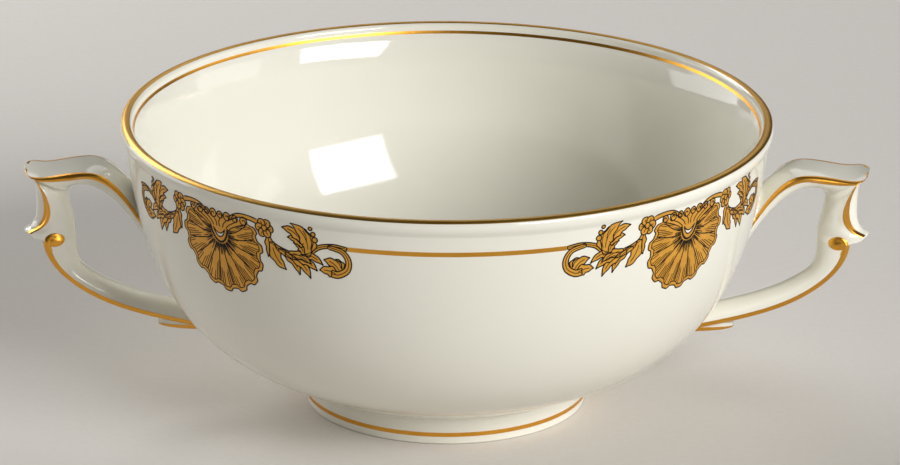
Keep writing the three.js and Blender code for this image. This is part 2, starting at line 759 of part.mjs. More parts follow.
function borderLine(middle) {
  const rings = [];
  for (let step = 0; step <= lineSteps; step += 1) {
    const around = middle + lineTurn * (0.5 - step / lineSteps);
    const corner = (lift, up) => {
      const radius = wallRadius(lineHeight + up) + filmGap + lift;
      return new THREE.Vector3(radius * Math.sin(around), -radius * Math.cos(around), lineHeight + up);
    };
    rings.push([
      corner(0, -borderLineWidth / 2),
      corner(filmThickness, -borderLineWidth / 2),
      corner(filmThickness, borderLineWidth / 2),
      corner(0, borderLineWidth / 2),
    ]);
  }
  return loft(rings);
}

const turnedFront = THREE.MathUtils.degToRad(motifTurn);
addPiece(bowl, 'border_line_front', borderLine(turnedFront), gold());
addPiece(bowl, 'border_line_back', borderLine(turnedFront + Math.PI), gold());

export default bowl;
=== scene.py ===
import math

import bpy
import numpy as np
from mathutils import Matrix, Vector
from mathutils.bvhtree import BVHTree
from mathutils.geometry import delaunay_2d_cdt


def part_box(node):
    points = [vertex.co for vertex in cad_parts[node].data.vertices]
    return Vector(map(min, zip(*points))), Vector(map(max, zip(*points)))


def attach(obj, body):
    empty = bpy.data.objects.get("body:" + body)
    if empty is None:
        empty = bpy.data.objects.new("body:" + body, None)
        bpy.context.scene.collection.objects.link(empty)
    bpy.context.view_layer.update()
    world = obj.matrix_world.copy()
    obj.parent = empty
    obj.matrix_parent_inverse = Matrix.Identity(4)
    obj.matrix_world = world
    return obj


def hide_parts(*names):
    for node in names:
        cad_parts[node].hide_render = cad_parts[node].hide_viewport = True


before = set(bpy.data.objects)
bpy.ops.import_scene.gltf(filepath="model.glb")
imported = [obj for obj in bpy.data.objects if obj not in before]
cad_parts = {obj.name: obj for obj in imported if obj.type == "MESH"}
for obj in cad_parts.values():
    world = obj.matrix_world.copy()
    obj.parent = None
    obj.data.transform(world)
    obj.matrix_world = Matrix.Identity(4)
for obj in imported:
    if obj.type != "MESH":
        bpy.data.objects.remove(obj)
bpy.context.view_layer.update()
MM = 0.001  # sizes below are millimetres, and meshes are made in metres

# Bowl body
# Porcelain clay turned on the wheel against a profile, dried, and dipped in a clear glaze. The wall
# swells out of the foot in one curve, turns out a little under the lip and ends in a rounded edge.
rim_radius, _, bowl_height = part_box("bowl_body")[1] / MM
foot_radius, _, foot_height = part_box("foot_ring")[1] / MM
lip_thickness = 2.4
lip_band = 3.5  # height of the band under the lip in which the wall turns outwards
lip_flare = 0.8
lip_ease = 1.2  # how soon the flare turns upright again below the rounded lip
wall_thickness = 2.6
rim_swell = 0.9  # how much thicker the wall is where it swells inwards under the lip
swell_place = 14  # how near under the lip that is
floor_thickness = 2.6
belly_spread, belly_rise = 16.8, 7.5  # pull of the wall's curve at the foot
shoulder_lean, shoulder_drop = 4, 37.7  # pull of the wall's curve below the lip
well_start = 0.1  # share of the wall's curve at which the well's floor begins
wall_sides = 240
base_steps, wall_steps, flare_steps, lip_steps = 12, 72, 10, 20  # of the mesh along the profile
inner_wall_steps, well_steps = 96, 24
seam_width = 0.001  # places nearer than that are one
crease = math.radians(40)  # edges sharper than this stay sharp, all others are shaded round


def on_curve(controls, share):
    """The place at a share of a Bezier curve with these control points."""
    places = [Vector(control) for control in controls]
    while len(places) > 1:
        places = [a.lerp(b, share) for a, b in zip(places, places[1:])]
    return places[0]


def along_curve(controls, share):
    """The direction of that curve there."""
    steps = [Vector(b) - Vector(a) for a, b in zip(controls, controls[1:])]
    return on_curve(steps, share).normalized()


def spread(first, last, steps):
    """Numbers at even steps, from the first to the last."""
    return [first + (last - first) * step / steps for step in range(steps + 1)]


def traced(controls, steps):
    """Places at even shares along a Bezier curve."""
    return [on_curve(controls, share) for share in spread(0, 1, steps)]


def outward_of(direction):
    """The direction to the right of one in a profile, which is outwards on a rising wall."""
    return Vector((direction.y, -direction.x))


neck = Vector((rim_radius - lip_flare, bowl_height - lip_band))
wall = [
    Vector((foot_radius, foot_height)),
    Vector((foot_radius + belly_spread, foot_height + belly_rise)),
    neck - Vector((shoulder_lean, shoulder_drop)),
    neck,
]
lip = Vector((rim_radius - lip_thickness / 2, bowl_height - lip_thickness / 2))
rise_at_neck = along_curve(wall, 1)
flare = [
    neck,
    neck + rise_at_neck * lip_ease / 2,
    Vector((rim_radius, lip.y - lip_ease)),
    Vector((rim_radius, lip.y)),
]


def on_lip(turn):
    """Place on the rounded lip, from its outer side at 0 over its top to its inner side at 180 degrees."""
    angle = math.radians(turn)
    return lip + Vector((math.cos(angle), math.sin(angle))) * lip_thickness / 2


def on_inner_wall(share):
    """Place on the inside, across the wall's thickness from a share of its curve."""
    thickness = wall_thickness + rim_swell * math.sin(math.pi * share ** swell_place)
    return on_curve(wall, share) - outward_of(along_curve(wall, share)) * thickness


inner_top = on_inner_wall(1)
inner_rise = (inner_top - on_inner_wall(0.99)).normalized()  # its direction just below its top
inner_flare = [
    on_lip(180),
    on_lip(180) - Vector((0, lip_ease / 2)),
    inner_top + inner_rise * lip_ease / 2,
    inner_top,
]
well_edge = on_inner_wall(well_start)
well_floor = foot_height + floor_thickness
slope = along_curve(wall, well_start)
well = [
    well_edge,
    well_edge - slope * (well_edge.y - well_floor) / slope.y,
    Vector((0, well_floor)),
]
bowl_profile = [Vector((radius, foot_height)) for radius in spread(0, foot_radius, base_steps)[:-1]]
bowl_profile += traced(wall, wall_steps)
bowl_profile += traced(flare, flare_steps)[1:]
bowl_profile += [on_lip(turn) for turn in spread(0, 180, lip_steps)[1:]]
bowl_profile += traced(inner_flare, flare_steps)[1:]
bowl_profile += [on_inner_wall(share) for share in spread(1, well_start, inner_wall_steps)[1:]]
bowl_profile += traced(well, well_steps)[1:]


def colour(code):
    """Linear RGBA of an sRGB hex colour."""
    channels = [int(code[place:place + 2], 16) / 255 for place in (1, 3, 5)]
    return [c / 12.92 if c <= 0.04045 else ((c + 0.055) / 1.055) ** 2.4 for c in channels] + [1]


def add_node(tree, kind, inputs=None, **settings):
    """Adds a node, with its settings, and its inputs linked to sockets or set to values."""
    node = tree.nodes.new(kind)
    for name, value in settings.items():
        setattr(node, name, value)
    for key, value in (inputs or {}).items():
        if isinstance(value, bpy.types.NodeSocket):
            tree.links.new(value, node.inputs[key])
        else:
            node.inputs[key].default_value = value
    return node


def new_material(name):
    """An empty material with its output, its shader and the piece's own coordinates."""
    material = bpy.data.materials.new(name)
    material.use_nodes = True
    tree = material.node_tree
    tree.nodes.clear()
    shader = add_node(tree, "ShaderNodeBsdfPrincipled")
    add_node(tree, "ShaderNodeOutputMaterial", {"Surface": shader.outputs[0]})
    coordinates = add_node(tree, "ShaderNodeTexCoord").outputs["Object"]
    return material, tree, shader, coordinates


# Clear feldspar glaze over white porcelain, dipped and fired glossy: a warm white that hardly varies,
# sharp reflections, and a surface that rolls very slightly, so that the edges of reflections waver.
glaze_warm = "#f3f0e3"
glaze_cool = "#eeecdf"
glaze_cloud = 35  # size of the faint clouds in its colour
glaze_breath = 5  # size of the duller and glossier places
glaze_glossiest, glaze_dullest = 0.05, 0.1
glaze_roll = 16  # length of the waves left by the dip
glaze_roll_height = 0.045
glaze_ior = 1.52

glaze, tree, shader, place = new_material("clear glaze on porcelain")
clouds = add_node(tree, "ShaderNodeTexNoise", {"Vector": place, "Scale": 1 / (glaze_cloud * MM)})
tint = add_node(tree, "ShaderNodeMix", {
    0: clouds.outputs[0],
    6: colour(glaze_warm),
    7: colour(glaze_cool),
}, data_type="RGBA")
breath = add_node(tree, "ShaderNodeTexNoise", {"Vector": place, "Scale": 1 / (glaze_breath * MM)})
gloss = add_node(tree, "ShaderNodeMapRange", {
    "Value": breath.outputs[0],
    "To Min": glaze_glossiest,
    "To Max": glaze_dullest,
})
rolls = add_node(tree, "ShaderNodeTexNoise", {
    "Vector": place,
    "Scale": 1 / (glaze_roll * MM),
    "Detail": 0,
})
waver = add_node(tree, "ShaderNodeBump", {
    "Height": rolls.outputs[0],
    "Distance": glaze_roll_height * MM,
})
tree.links.new(tint.outputs[2], shader.inputs["Base Color"])
tree.links.new(gloss.outputs[0], shader.inputs["Roughness"])
tree.links.new(waver.outputs[0], shader.inputs["Normal"])
shader.inputs["IOR"].default_value = glaze_ior


def new_tree(name, **sizes):
    """A tree for a geometry modifier, with an input for its base and one for each named size."""
    tree = bpy.data.node_groups.new(name, "GeometryNodeTree")
    tree.interface.new_socket("Geometry", in_out="INPUT", socket_type="NodeSocketGeometry")
    for label, kind in sizes.items():
        tree.interface.new_socket(label, in_out="INPUT", socket_type=kind)
    tree.interface.new_socket("Geometry", in_out="OUTPUT", socket_type="NodeSocketGeometry")
    return tree, add_node(tree, "NodeGroupInput").outputs


def end_tree(tree, made, material):
    """Ends a tree with what it made, smooth, real and clad in the material."""
    smooth = add_node(tree, "GeometryNodeSetShadeSmooth", {0: made})
    real = add_node(tree, "GeometryNodeRealizeInstances", {0: smooth.outputs[0]})
    clad = add_node(tree, "GeometryNodeSetMaterial", {0: real.outputs[0], "Material": material})
    add_node(tree, "NodeGroupOutput", {0: clad.outputs[0]})


def plain_mesh(name, corners, edges, faces):
    """A mesh in metres from corners in millimetres."""
    mesh = bpy.data.meshes.new(name)
    mesh.from_pydata([Vector(corner) * MM for corner in corners], edges, faces)
    return mesh


def made_by(tree, name, base, **sizes):
    """A piece that a tree makes from a base mesh, turned into a plain mesh."""
    piece = bpy.data.objects.new(name, base)
    bpy.context.scene.collection.objects.link(piece)
    modifier = piece.modifiers.new(tree.name, "NODES")
    modifier.node_group = tree
    for socket in tree.interface.items_tree:
        if socket.name in sizes:
            modifier[socket.identifier] = sizes[socket.name]
    seen = piece.evaluated_get(bpy.context.evaluated_depsgraph_get())
    mesh = bpy.data.meshes.new_from_object(seen)
    mesh.set_sharp_from_angle(angle=crease)
    piece.modifiers.remove(modifier)
    piece.data = mesh
    return piece


# The wheel: a profile goes round the axis, one column of a grid for each step of the turn
wheel, given = new_tree("wheel", Sides="NodeSocketInt", Material="NodeSocketMaterial")
count = add_node(wheel, "GeometryNodeAttributeDomainSize", {0: given["Geometry"]}).outputs["Point Count"]
columns = add_node(wheel, "ShaderNodeMath", {0: given["Sides"], 1: 1.0}, operation="ADD")
grid = add_node(wheel, "GeometryNodeMeshGrid", {"Vertices X": columns.outputs[0], "Vertices Y": count})
index = add_node(wheel, "GeometryNodeInputIndex").outputs[0]
row = add_node(wheel, "ShaderNodeMath", {0: index, 1: count}, operation="MODULO")
ratio = add_node(wheel, "ShaderNodeMath", {0: index, 1: count}, operation="DIVIDE")
column = add_node(wheel, "ShaderNodeMath", {0: ratio.outputs[0]}, operation="FLOOR")
share = add_node(wheel, "ShaderNodeMath", {0: column.outputs[0], 1: given["Sides"]}, operation="DIVIDE")
turn = add_node(wheel, "ShaderNodeMath", {0: share.outputs[0], 1: math.tau}, operation="MULTIPLY")
place = add_node(wheel, "GeometryNodeInputPosition").outputs[0]
on_profile = add_node(wheel, "GeometryNodeSampleIndex", {
    "Geometry": given["Geometry"],
    "Value": place,
    "Index": row.outputs[0],
}, data_type="FLOAT_VECTOR")
turned = add_node(wheel, "ShaderNodeVectorRotate", {
    "Vector": on_profile.outputs[0],
    "Angle": turn.outputs[0],
}, rotation_type="Z_AXIS")
laid = add_node(wheel, "GeometryNodeSetPosition", {0: grid.outputs[0], "Position": turned.outputs[0]})
closed = add_node(wheel, "GeometryNodeMergeByDistance", {
    0: laid.outputs[0],
    "Distance": seam_width * MM,
})
end_tree(wheel, closed.outputs[0], given["Material"])


def turned_piece(name, profile, material):
    """A piece turned on the wheel from a profile of (radius, height) places."""
    line = [(radius, 0, height) for radius, height in profile]
    edges = [(step, step + 1) for step in range(len(line) - 1)]
    return made_by(wheel, name, plain_mesh(name, line, edges, []), Sides=wall_sides, Material=material)


def settle(piece, slot, *nodes):
    """The piece stands for these solids, which it hides, and rides with the bowl; the slot is not used."""
    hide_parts(*nodes)
    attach(piece, "root")


glazed_bowl = turned_piece("glazed_bowl", bowl_profile, glaze)
settle(glazed_bowl, "porcelain", "bowl_body")

# Foot ring
# A ring of the same clay, turned on under the bowl. Glaze fills the corner to the bowl. Its standing
# edge is drawn duller and greyer, and the grey is painted contact shade where the foot meets the floor.
foot_taper = 0.8
foot_width = 5.4
foot_bore_taper = 1.2
foot_edge = 0.5
foot_fill = 0.7  # size of the glaze fillet between the foot and the wall
# height of the duller, greyer band at the bottom of the foot; its grey is painted contact shade
shade_band_height = 0.25
foot_steps, foot_fill_steps = 8, 10  # of the mesh along each stretch of its profile

foot_bore = foot_radius - foot_width
foot_low = Vector((foot_radius - foot_taper, foot_edge))
foot_top = Vector((foot_radius, foot_height))
up_foot = (foot_top - foot_low).normalized()
fillet = [foot_top - up_foot * foot_fill, foot_top, foot_top + along_curve(wall, 0) * foot_fill]
bore_low = Vector((foot_bore + foot_bore_taper, foot_edge))
outer_edge = [Vector((foot_low.x - foot_edge, 0)), Vector((foot_low.x, 0)), foot_low]
inner_edge = [bore_low, Vector((bore_low.x, 0)), Vector((bore_low.x + foot_edge, 0))]
foot_profile = traced(outer_edge, foot_steps)
foot_profile += traced([foot_low, fillet[0]], foot_steps)[1:]
foot_profile += traced(fillet, foot_fill_steps)[1:]
foot_profile += [Vector((foot_bore, foot_height + foot_fill / 2))]
foot_profile += traced([(foot_bore, foot_height), bore_low], foot_steps)
foot_profile += traced(inner_edge, foot_steps)[1:]
foot_profile += [foot_profile[0]]

# The same glaze, duller and greyer on the standing edge: the grey is painted contact shade
contact_shade_grey = "#dfd9cb"
shade_band_roughness = 0.75
shaded_foot_glaze = glaze.copy()
shaded_foot_glaze.name = "glaze wiped to biscuit on the foot"
tree = shaded_foot_glaze.node_tree
shader = next(node for node in tree.nodes if node.type == "BSDF_PRINCIPLED")
coordinates = next(node for node in tree.nodes if node.type == "TEX_COORD")
height = add_node(tree, "ShaderNodeSeparateXYZ", {0: coordinates.outputs["Object"]}).outputs["Z"]
# painted contact shade: below that height the foot is greyed, where it stands on the floor
shade_band = add_node(tree, "ShaderNodeMath", {0: height, 1: shade_band_height * MM}, operation="LESS_THAN")
shade_band_values = {"Base Color": colour(contact_shade_grey), "Roughness": [shade_band_roughness] * 4}
for socket, band_value in shade_band_values.items():
    mixed = add_node(tree, "ShaderNodeMix", {
        0: shade_band.outputs[0],
        6: shader.inputs[socket].links[0].from_socket,
        7: band_value,
    }, data_type="RGBA")
    tree.links.new(mixed.outputs[2], shader.inputs[socket])
glazed_foot = turned_piece("glazed_foot", foot_profile, shaded_foot_glaze)
settle(glazed_foot, "porcelain", "foot_ring")

# Handles
# Two scroll handles pressed in moulds from the same clay and luted to the wall with slip: a thumb rest
# that ends in a tongue, a hollowed stem, a ledge, a scroll, and a small tail under the lower strap.
handle_drop = 10.5  # from the rim down to the thumb rest
hump_reach = 7.8
tongue_reach = 20.6
tongue_length = 2.5
tongue_lift = 0.8
rest_dip = 1.1
stem_hollow = 4.2
ledge_setback, ledge_drop, ledge_depth = 0.3, 13.3, 1.4
scroll_setback = 3.4
elbow_reach, elbow_rise = 7.8, 8.2
upper_joint_drop = 19.6
lower_joint_height = 13.4
joint_sink = 2.5
run_out_thickness, rest_thickness, stem_thickness, lower_thickness = 1.7, 3.4, 4.0, 3.4
stem_lean = 1.3
hole_corner = 2.4
rest_half, tongue_tip_half, ledge_half, lower_half = 6.1, 2.2, 3.2, 3.8
stem_half, stem_half_low = 7.2, 2.9  # towards which its width goes at its top and its foot
bevel = 0.75  # the raised edge that is gilded
edge_lip = 0.25
face_crown = 0.04  # bulge of the outer face, as a share of its half width
stem_crown = 0.7
ledge_crown = 0.4
tip_crown = 0.3
corner_fill = 3.0
lip_share, lip_least = 0.35, 1.5  # where the raised edge ends: share of the depth, or times the bevel
side_fullness = 3  # how square the side is before it rounds in
edge_rounding = 5  # how often the glaze evens out the strap along its length
joint_depth = 1.0  # how far a handle's end reaches into the wall
strap_fillet, tail_fillet = 1.1, 0.5
fillet_fade = 0.3  # a skin that runs along the wall, more level than this, gets less of the fillet
wall_samples = 600
tiny = 1e-9  # stands in for a length of nought in a division

rest_height = bowl_height - handle_drop
wall_places = np.array(traced(wall, wall_samples))
wall_normals = np.array([outward_of(along_curve(wall, share)) for share in spread(0, 1, wall_samples)])


def wall_radius(height):
    return float(np.interp(height, wall_places[:, 1], wall_places[:, 0]))


wall_at_rest = wall_radius(rest_height)
ledge_reach = tongue_reach - ledge_setback
scroll_reach = tongue_reach - scroll_setback
elbow_drop = rest_height - lower_joint_height - elbow_rise


def at(reach, half, drop):
    """Place on a handle: out from the wall at the thumb rest, half width, and down from the rest."""
    return Vector((wall_at_rest + reach, half, rest_height - drop))


def at_wall(height, half):
    return Vector((wall_radius(height) - joint_sink, half, height))


def across(place, pull, thickness):
    """The place across the strap, square to its direction (out, up)."""
    square = Vector((pull[1], 0, -pull[0])).normalized() * thickness
    return Vector((place.x, 0, place.z)) + square


def stretch(start, start_pull, end, end_pull, start_half=None, end_half=None):
    """Control points from one place to another, with a pull (out, up) and a half width at each end."""
    start_half = start.y if start_half is None else start_half
    end_half = end.y if end_half is None else end_half
    leave = Vector((start.x + start_pull[0], start_half, start.z + start_pull[1]))
    arrive = Vector((end.x + end_pull[0], end_half, end.z + end_pull[1]))
    return [start, leave, arrive, end]


# Curvature of the outer edge line, as the pull (out, up) that it has at each place
rise_from_wall = (5, 8.5)
hump_inside, hump_outside = (-6.5, -0.2), (4, 0.1)
shoulder_inside, shoulder_outside = (-2.8, -0.2), (1.1, 0.08)
tip_inside = (-0.4, -0.5)
stem_fall, stem_rise = 3.8, 1.2
nose_upper, nose_lower = (-0.2, -1.4), (1, 0.2)
scroll_fall = (-0.1, -4.8)
elbow_above, elbow_below = (4.5, 2.5), (-8, -4.5)
lower_from_wall = (9, 2.5)

upper_joint = at_wall(rest_height - upper_joint_drop, rest_half)
hump = at(hump_reach, rest_half, 0)
shoulder = at(tongue_reach - tongue_length, rest_half - edge_lip, rest_dip)
tongue_tip = at(tongue_reach, tongue_tip_half, rest_dip - tongue_lift)
ledge = at(ledge_reach, ledge_half, ledge_drop)
scroll_top = at(scroll_reach, lower_half, ledge_drop + ledge_depth)
elbow = at(elbow_reach, lower_half, elbow_drop)
lower_joint = at_wall(lower_joint_height, lower_half)

stem_inner = (tongue_reach + ledge_reach) / 2 - stem_hollow - stem_thickness
corner_inset = (1 - math.sqrt(0.5)) * hole_corner
hole_top = at(stem_inner - hole_corner, 0, rest_thickness)
hole_turn = at(stem_inner - corner_inset, 0, rest_thickness + corner_inset)
stem_top = at(stem_inner, 0, rest_thickness + hole_corner)
stem_foot = at(stem_inner - stem_lean, 0, ledge_drop)
scroll_inner = at(stem_inner - stem_lean, 0, ledge_drop + ledge_depth)
inner_upper_joint = across(upper_joint, rise_from_wall, run_out_thickness)
inner_elbow = across(elbow, elbow_below, lower_thickness)
inner_lower_joint = across(lower_joint, lower_from_wall, -lower_thickness)
corner_pull = 4 / 3 * math.tan(math.pi / 16) * hole_corner  # of a curve for an eighth of a circle
corner_slant = corner_pull * math.sqrt(0.5)
stem_third = (stem_top.z - stem_foot.z) / 3
nose_third = (stem_foot.z - scroll_inner.z) / 3
hollow_pull = 4 / 3 * stem_hollow

# Each stretch: its outer edge line, its inner line, the crown of its outer face at both ends, its rings
plain = (face_crown, face_crown)
stretches = {
    "rise": (stretch(upper_joint, rise_from_wall, hump, hump_inside),
             stretch(inner_upper_joint, rise_from_wall, hole_top, (hump_inside[0], 0)),
             (corner_fill / (rest_half - bevel), face_crown), 64),
    "rest": (stretch(hump, hump_outside, shoulder, shoulder_inside),
             stretch(hole_top, (corner_pull, 0), hole_turn, (-corner_slant, corner_slant)), plain, 40),
    "tongue": (stretch(shoulder, shoulder_outside, tongue_tip, tip_inside, end_half=shoulder.y),
               stretch(hole_turn, (corner_slant, -corner_slant), stem_top, (0, corner_pull)),
               (face_crown, tip_crown), 24),
    "stem": (stretch(tongue_tip, (-hollow_pull, -stem_fall), ledge, (-hollow_pull, stem_rise),
                     stem_half, stem_half_low),
             stretch(stem_top, (0, -stem_third), stem_foot, (0, stem_third)),
             (tip_crown, ledge_crown), 56),
    "nose": (stretch(ledge, nose_upper, scroll_top, nose_lower),
             stretch(stem_foot, (0, -nose_third), scroll_inner, (0, nose_third)),
             (ledge_crown, face_crown), 14),
    "scroll": (stretch(scroll_top, scroll_fall, elbow, elbow_above),
               stretch(scroll_inner, scroll_fall, inner_elbow, elbow_above), plain, 44),
    "lower": (stretch(elbow, elbow_below, lower_joint, lower_from_wall),
              stretch(inner_elbow, elbow_below, inner_lower_joint, lower_from_wall), plain, 64),
}
face_steps, bevel_steps, side_steps = 7, 6, 14


def ring(place, outward, half_section):
    """Points round a strap, from the middle of its outer face; a half section is (side, deep) places."""
    sides = [(-side, deep) for side, deep in half_section]
    sides += [(side, deep) for side, deep in half_section[-2:0:-1]]
    return [(place.x - outward.x * deep, side, place.z - outward.z * deep) for side, deep in sides]


def strap_ring(edge, inner, crown):
    """A crowned outer face, a rounded raised edge and a side that rounds in to the finger hole."""
    outward = Vector((edge.x - inner.x, 0, edge.z - inner.z))
    depth = outward.length
    body = max(edge.y - edge_lip, lower_half)
    lip_end = max(lip_share * depth, bevel * lip_least)
    half_section = []
    for share in spread(0, 1, face_steps)[:-1]:
        half_section.append((share * (edge.y - bevel), -crown * (edge.y - bevel) * (1 - share ** 2)))
    for share in spread(0, 1, bevel_steps)[:-1]:
        angle = share * math.pi / 2
        half_section.append((edge.y - bevel * (1 - math.sin(angle)), bevel * (1 - math.cos(angle))))
    for share in spread(0, 1, side_steps):
        deep = bevel + (depth - bevel) * math.sin(share * math.pi / 2)
        swell = body * math.sqrt(max(0, 1 - (deep / depth) ** side_fullness))
        ease = min(1, (deep - bevel) / (lip_end - bevel))
        half_section.append((edge.y + (swell - edge.y) * ease * ease * (3 - 2 * ease), deep))
    return ring(edge, outward.normalized(), half_section)


def soften(grid, passes):
    """Rounds a grid along its length, as the glaze rounds every corner that it covers."""
    for _ in range(passes):
        grid[1:-1] = (grid[:-2] + 2 * grid[1:-1] + grid[2:]) / 4


def grid_normals(grid):
    """The way out of the skin at each place of a grid of rings."""
    along = np.gradient(grid, axis=0)
    around = np.roll(grid, -1, axis=1) - np.roll(grid, 1, axis=1)
    normals = np.cross(around, along)
    return normals / np.maximum(np.linalg.norm(normals, axis=-1, keepdims=True), tiny)


def wall_distance(grid):
    """How far places stand off the wall, and which way is straight out of it there."""
    radius = np.hypot(grid[..., 0], grid[..., 1])
    flat = np.stack([radius, grid[..., 2]], axis=-1)
    nearest = np.argmin(((flat[..., None, :] - wall_places) ** 2).sum(-1), axis=-1)
    out = wall_normals[nearest]
    distance = ((flat - wall_places[nearest]) * out).sum(-1)
    sideways = grid[..., :2] / radius[..., None] * out[..., :1]
    return distance, np.concatenate([sideways, out[..., 1:]], axis=-1)


def meet_wall(grid, fillet):
    """Ends a strap a little inside the wall, with slip smoothed into the corner round it."""
    distance, straight_out = wall_distance(grid)
    normals = grid_normals(grid)
    level = normals - (normals * straight_out).sum(-1, keepdims=True) * straight_out
    level /= np.maximum(np.linalg.norm(level, axis=-1, keepdims=True), fillet_fade)
    near = np.clip(1 - distance / fillet, 0, 1)
    grid += level * (fillet * (1 - np.sqrt(1 - near ** 2)))[..., None]
    distance, straight_out = wall_distance(grid)
    grid += straight_out * np.maximum(-joint_depth - distance, 0)[..., None]


def loft(grid):
    """Corners and faces of a closed skin over rings of places."""
    rings, size, _ = grid.shape
    faces = []
    for first in range(0, (rings - 1) * size, size):
        for step in range(size):
            after = (step + 1) % size
            faces.append((first + step, first + after, first + size + after, first + size + step))
    faces.append(list(range(size))[::-1])
    faces.append(list(range((rings - 1) * size, rings * size)))
    return grid.reshape(-1, 3), faces


def gathered(parts):
    """One list of corners and faces from several."""
    corners, faces = [], []
    for part_corners, part_faces in parts:
        faces += [[len(corners) + corner for corner in face] for face in part_faces]
        corners += [tuple(corner) for corner in part_corners]
    return corners, faces


def add_piece(name, parts, material, half_turn):
    """A smooth piece from lofted parts, turned half round the bowl for the left handle."""
    corners, faces = gathered(parts)
    if half_turn:
        corners = [(-x, -y, z) for x, y, z in corners]
    mesh = plain_mesh(name, corners, [], faces)
    mesh.shade_smooth()
    mesh.set_sharp_from_angle(angle=crease)
    mesh.materials.append(material)
    piece = bpy.data.objects.new(name, mesh)
    bpy.context.scene.collection.objects.link(piece)
    return piece


strap_rings = []
first_ring, last_ring = {}, {}
for name, (edge_line, hole_line, crowns, rings) in stretches.items():
    first_ring[name] = max(0, len(strap_rings) - 1)
    for share in spread(0, 1, rings)[1 if strap_rings else 0:]:
        crown = crowns[0] + (crowns[1] - crowns[0]) * share
        if name == "stem":
            crown += (stem_crown - crown) * math.sin(math.pi * share) ** 0.5
        strap_rings.append(strap_ring(on_curve(edge_line, share), on_curve(hole_line, share), crown))
    last_ring[name] = len(strap_rings) - 1
strap = np.array(strap_rings)
soften(strap, edge_rounding)
meet_wall(strap, strap_fillet)

# The tail: a tongue of clay under the lower strap, drawn out from the wall to a thin end that turns up
tail_reach = 12.7
tail_depth = 1.6  # from its lower edge up to its end
tail_inset = 0.65
tail_edge = 0.45
tail_root = 2.2  # how far the tail runs up into the strap
tail_lift = 0.75  # from the lower joint up to its lower edge
tail_end = 0.06  # share of its thickness that is left at its end
tail_steps, tail_face_steps, tail_edge_steps = 40, 4, 5

tail_half = lower_half - bevel - tail_inset
tail_tip = lower_joint.x + joint_sink + tail_reach
tail_level = lower_joint_height + tail_lift
tail_line = [
    Vector((lower_joint.x, 0, tail_level)),
    Vector(((lower_joint.x + tail_tip) / 2, 0, tail_level)),
    Vector((tail_tip, 0, tail_level)),
    Vector((tail_tip, 0, tail_level + tail_depth)),
]
tail_section = [(share * (tail_half - tail_edge), 0) for share in spread(0, 1, tail_face_steps)[:-1]]
for share in spread(0, 1, tail_edge_steps):
    angle = share * math.pi / 2
    half = tail_half - tail_edge * (1 - math.sin(angle))
    tail_section.append((half, tail_edge * (1 - math.cos(angle))))
tail_section += [(tail_half, tail_edge * 2), (tail_half, tail_root), (0, tail_root)]
tail_rings = []
for place in traced(tail_line, tail_steps):
    fullness = max((tail_line[-1].z - place.z) / tail_depth, tail_end)
    half_section = [(half, rise * fullness) for half, rise in tail_section]
    tail_rings.append(ring(place, Vector((0, 0, -1)), half_section))
tail = np.array(tail_rings)
meet_wall(tail, tail_fillet)

for hand in ("left", "right"):
    handle = add_piece(f"{hand}_glazed_handle", [loft(strap), loft(tail)], glaze, hand == "left")
    settle(handle, "porcelain", f"{hand}_handle")

# Rim, inner line and foot line
# Liquid gold laid on with a brush while the bowl turns on the gilder's wheel, and fired on over the
# glaze: one band over the lip, a fine line inside under it, and one round the foot.
gilt_lift = 0.035  # how far the gold stands on the glaze
gilt_sink = 0.06
rim_gilt_from, rim_gilt_to = 40, 122  # degrees round the lip, from its outer side
inner_line_drop, inner_line_width = 0.45, 0.6
foot_line_height, foot_line_width = 1.2, 0.9
rim_line_steps, inner_line_steps, foot_line_steps = 12, 5, 4
flare_samples = 20

# Gold, a fired film so thin that the brush shows: a metal with a faint grain, thinner in clouds, rubbed
# in small spots. The band over the lip is burnished, the fine lines stay satin.
gold_grain = 0.5  # size of the grain left by the brush
gold_cloud = 7  # size of the fuller and thinner places
gold_rub, gold_rub_depth = 1.6, 0.02  # size and depth of the rubbed spots


def fired_gold(name, full, thin, smoothest, roughest):
    """A gold with the colours of its full and thin places, and its least and greatest roughness."""
    gold, tree, shader, place = new_material(name)
    clouds = add_node(tree, "ShaderNodeTexNoise", {"Vector": place, "Scale": 1 / (gold_cloud * MM)})
    grain = add_node(tree, "ShaderNodeTexNoise", {"Vector": place, "Scale": 1 / (gold_grain * MM)})
    rubs = add_node(tree, "ShaderNodeTexNoise", {
        "Vector": place,
        "Scale": 1 / (gold_rub * MM),
        "Detail": 4,
    })
    tint = add_node(tree, "ShaderNodeMix", {
        0: clouds.outputs[0],
        6: colour(full),
        7: colour(thin),
    }, data_type="RGBA")
    sheen = add_node(tree, "ShaderNodeMapRange", {
        "Value": grain.outputs[0],
        "To Min": smoothest,
        "To Max": roughest,
    })
    rubbed = add_node(tree, "ShaderNodeBump", {
        "Height": rubs.outputs[0],
        "Distance": gold_rub_depth * MM,
    })
    tree.links.new(tint.outputs[2], shader.inputs["Base Color"])
    tree.links.new(sheen.outputs[0], shader.inputs["Roughness"])
    tree.links.new(rubbed.outputs[0], shader.inputs["Normal"])
    shader.inputs["Metallic"].default_value = 1
    return gold


burnished_gold = fired_gold("burnished gold", full="#e0b054", thin="#c99840", smoothest=0.32, roughest=0.44)
satin_gold = fired_gold("satin gold", full="#f2b44c", thin="#dc9a36", smoothest=0.28, roughest=0.44)


def gilt_band(name, line, outward, material, node):
    """A gold film all round, along a profile line; outward gives each place's way out of the glaze."""
    over = [place + out * gilt_lift for place, out in zip(line, outward)]
    under = [place - out * gilt_sink for place, out in zip(line, outward)]
    band = turned_piece(name, [*over, *under[::-1], over[0]], material)
    settle(band, "gilding", node)


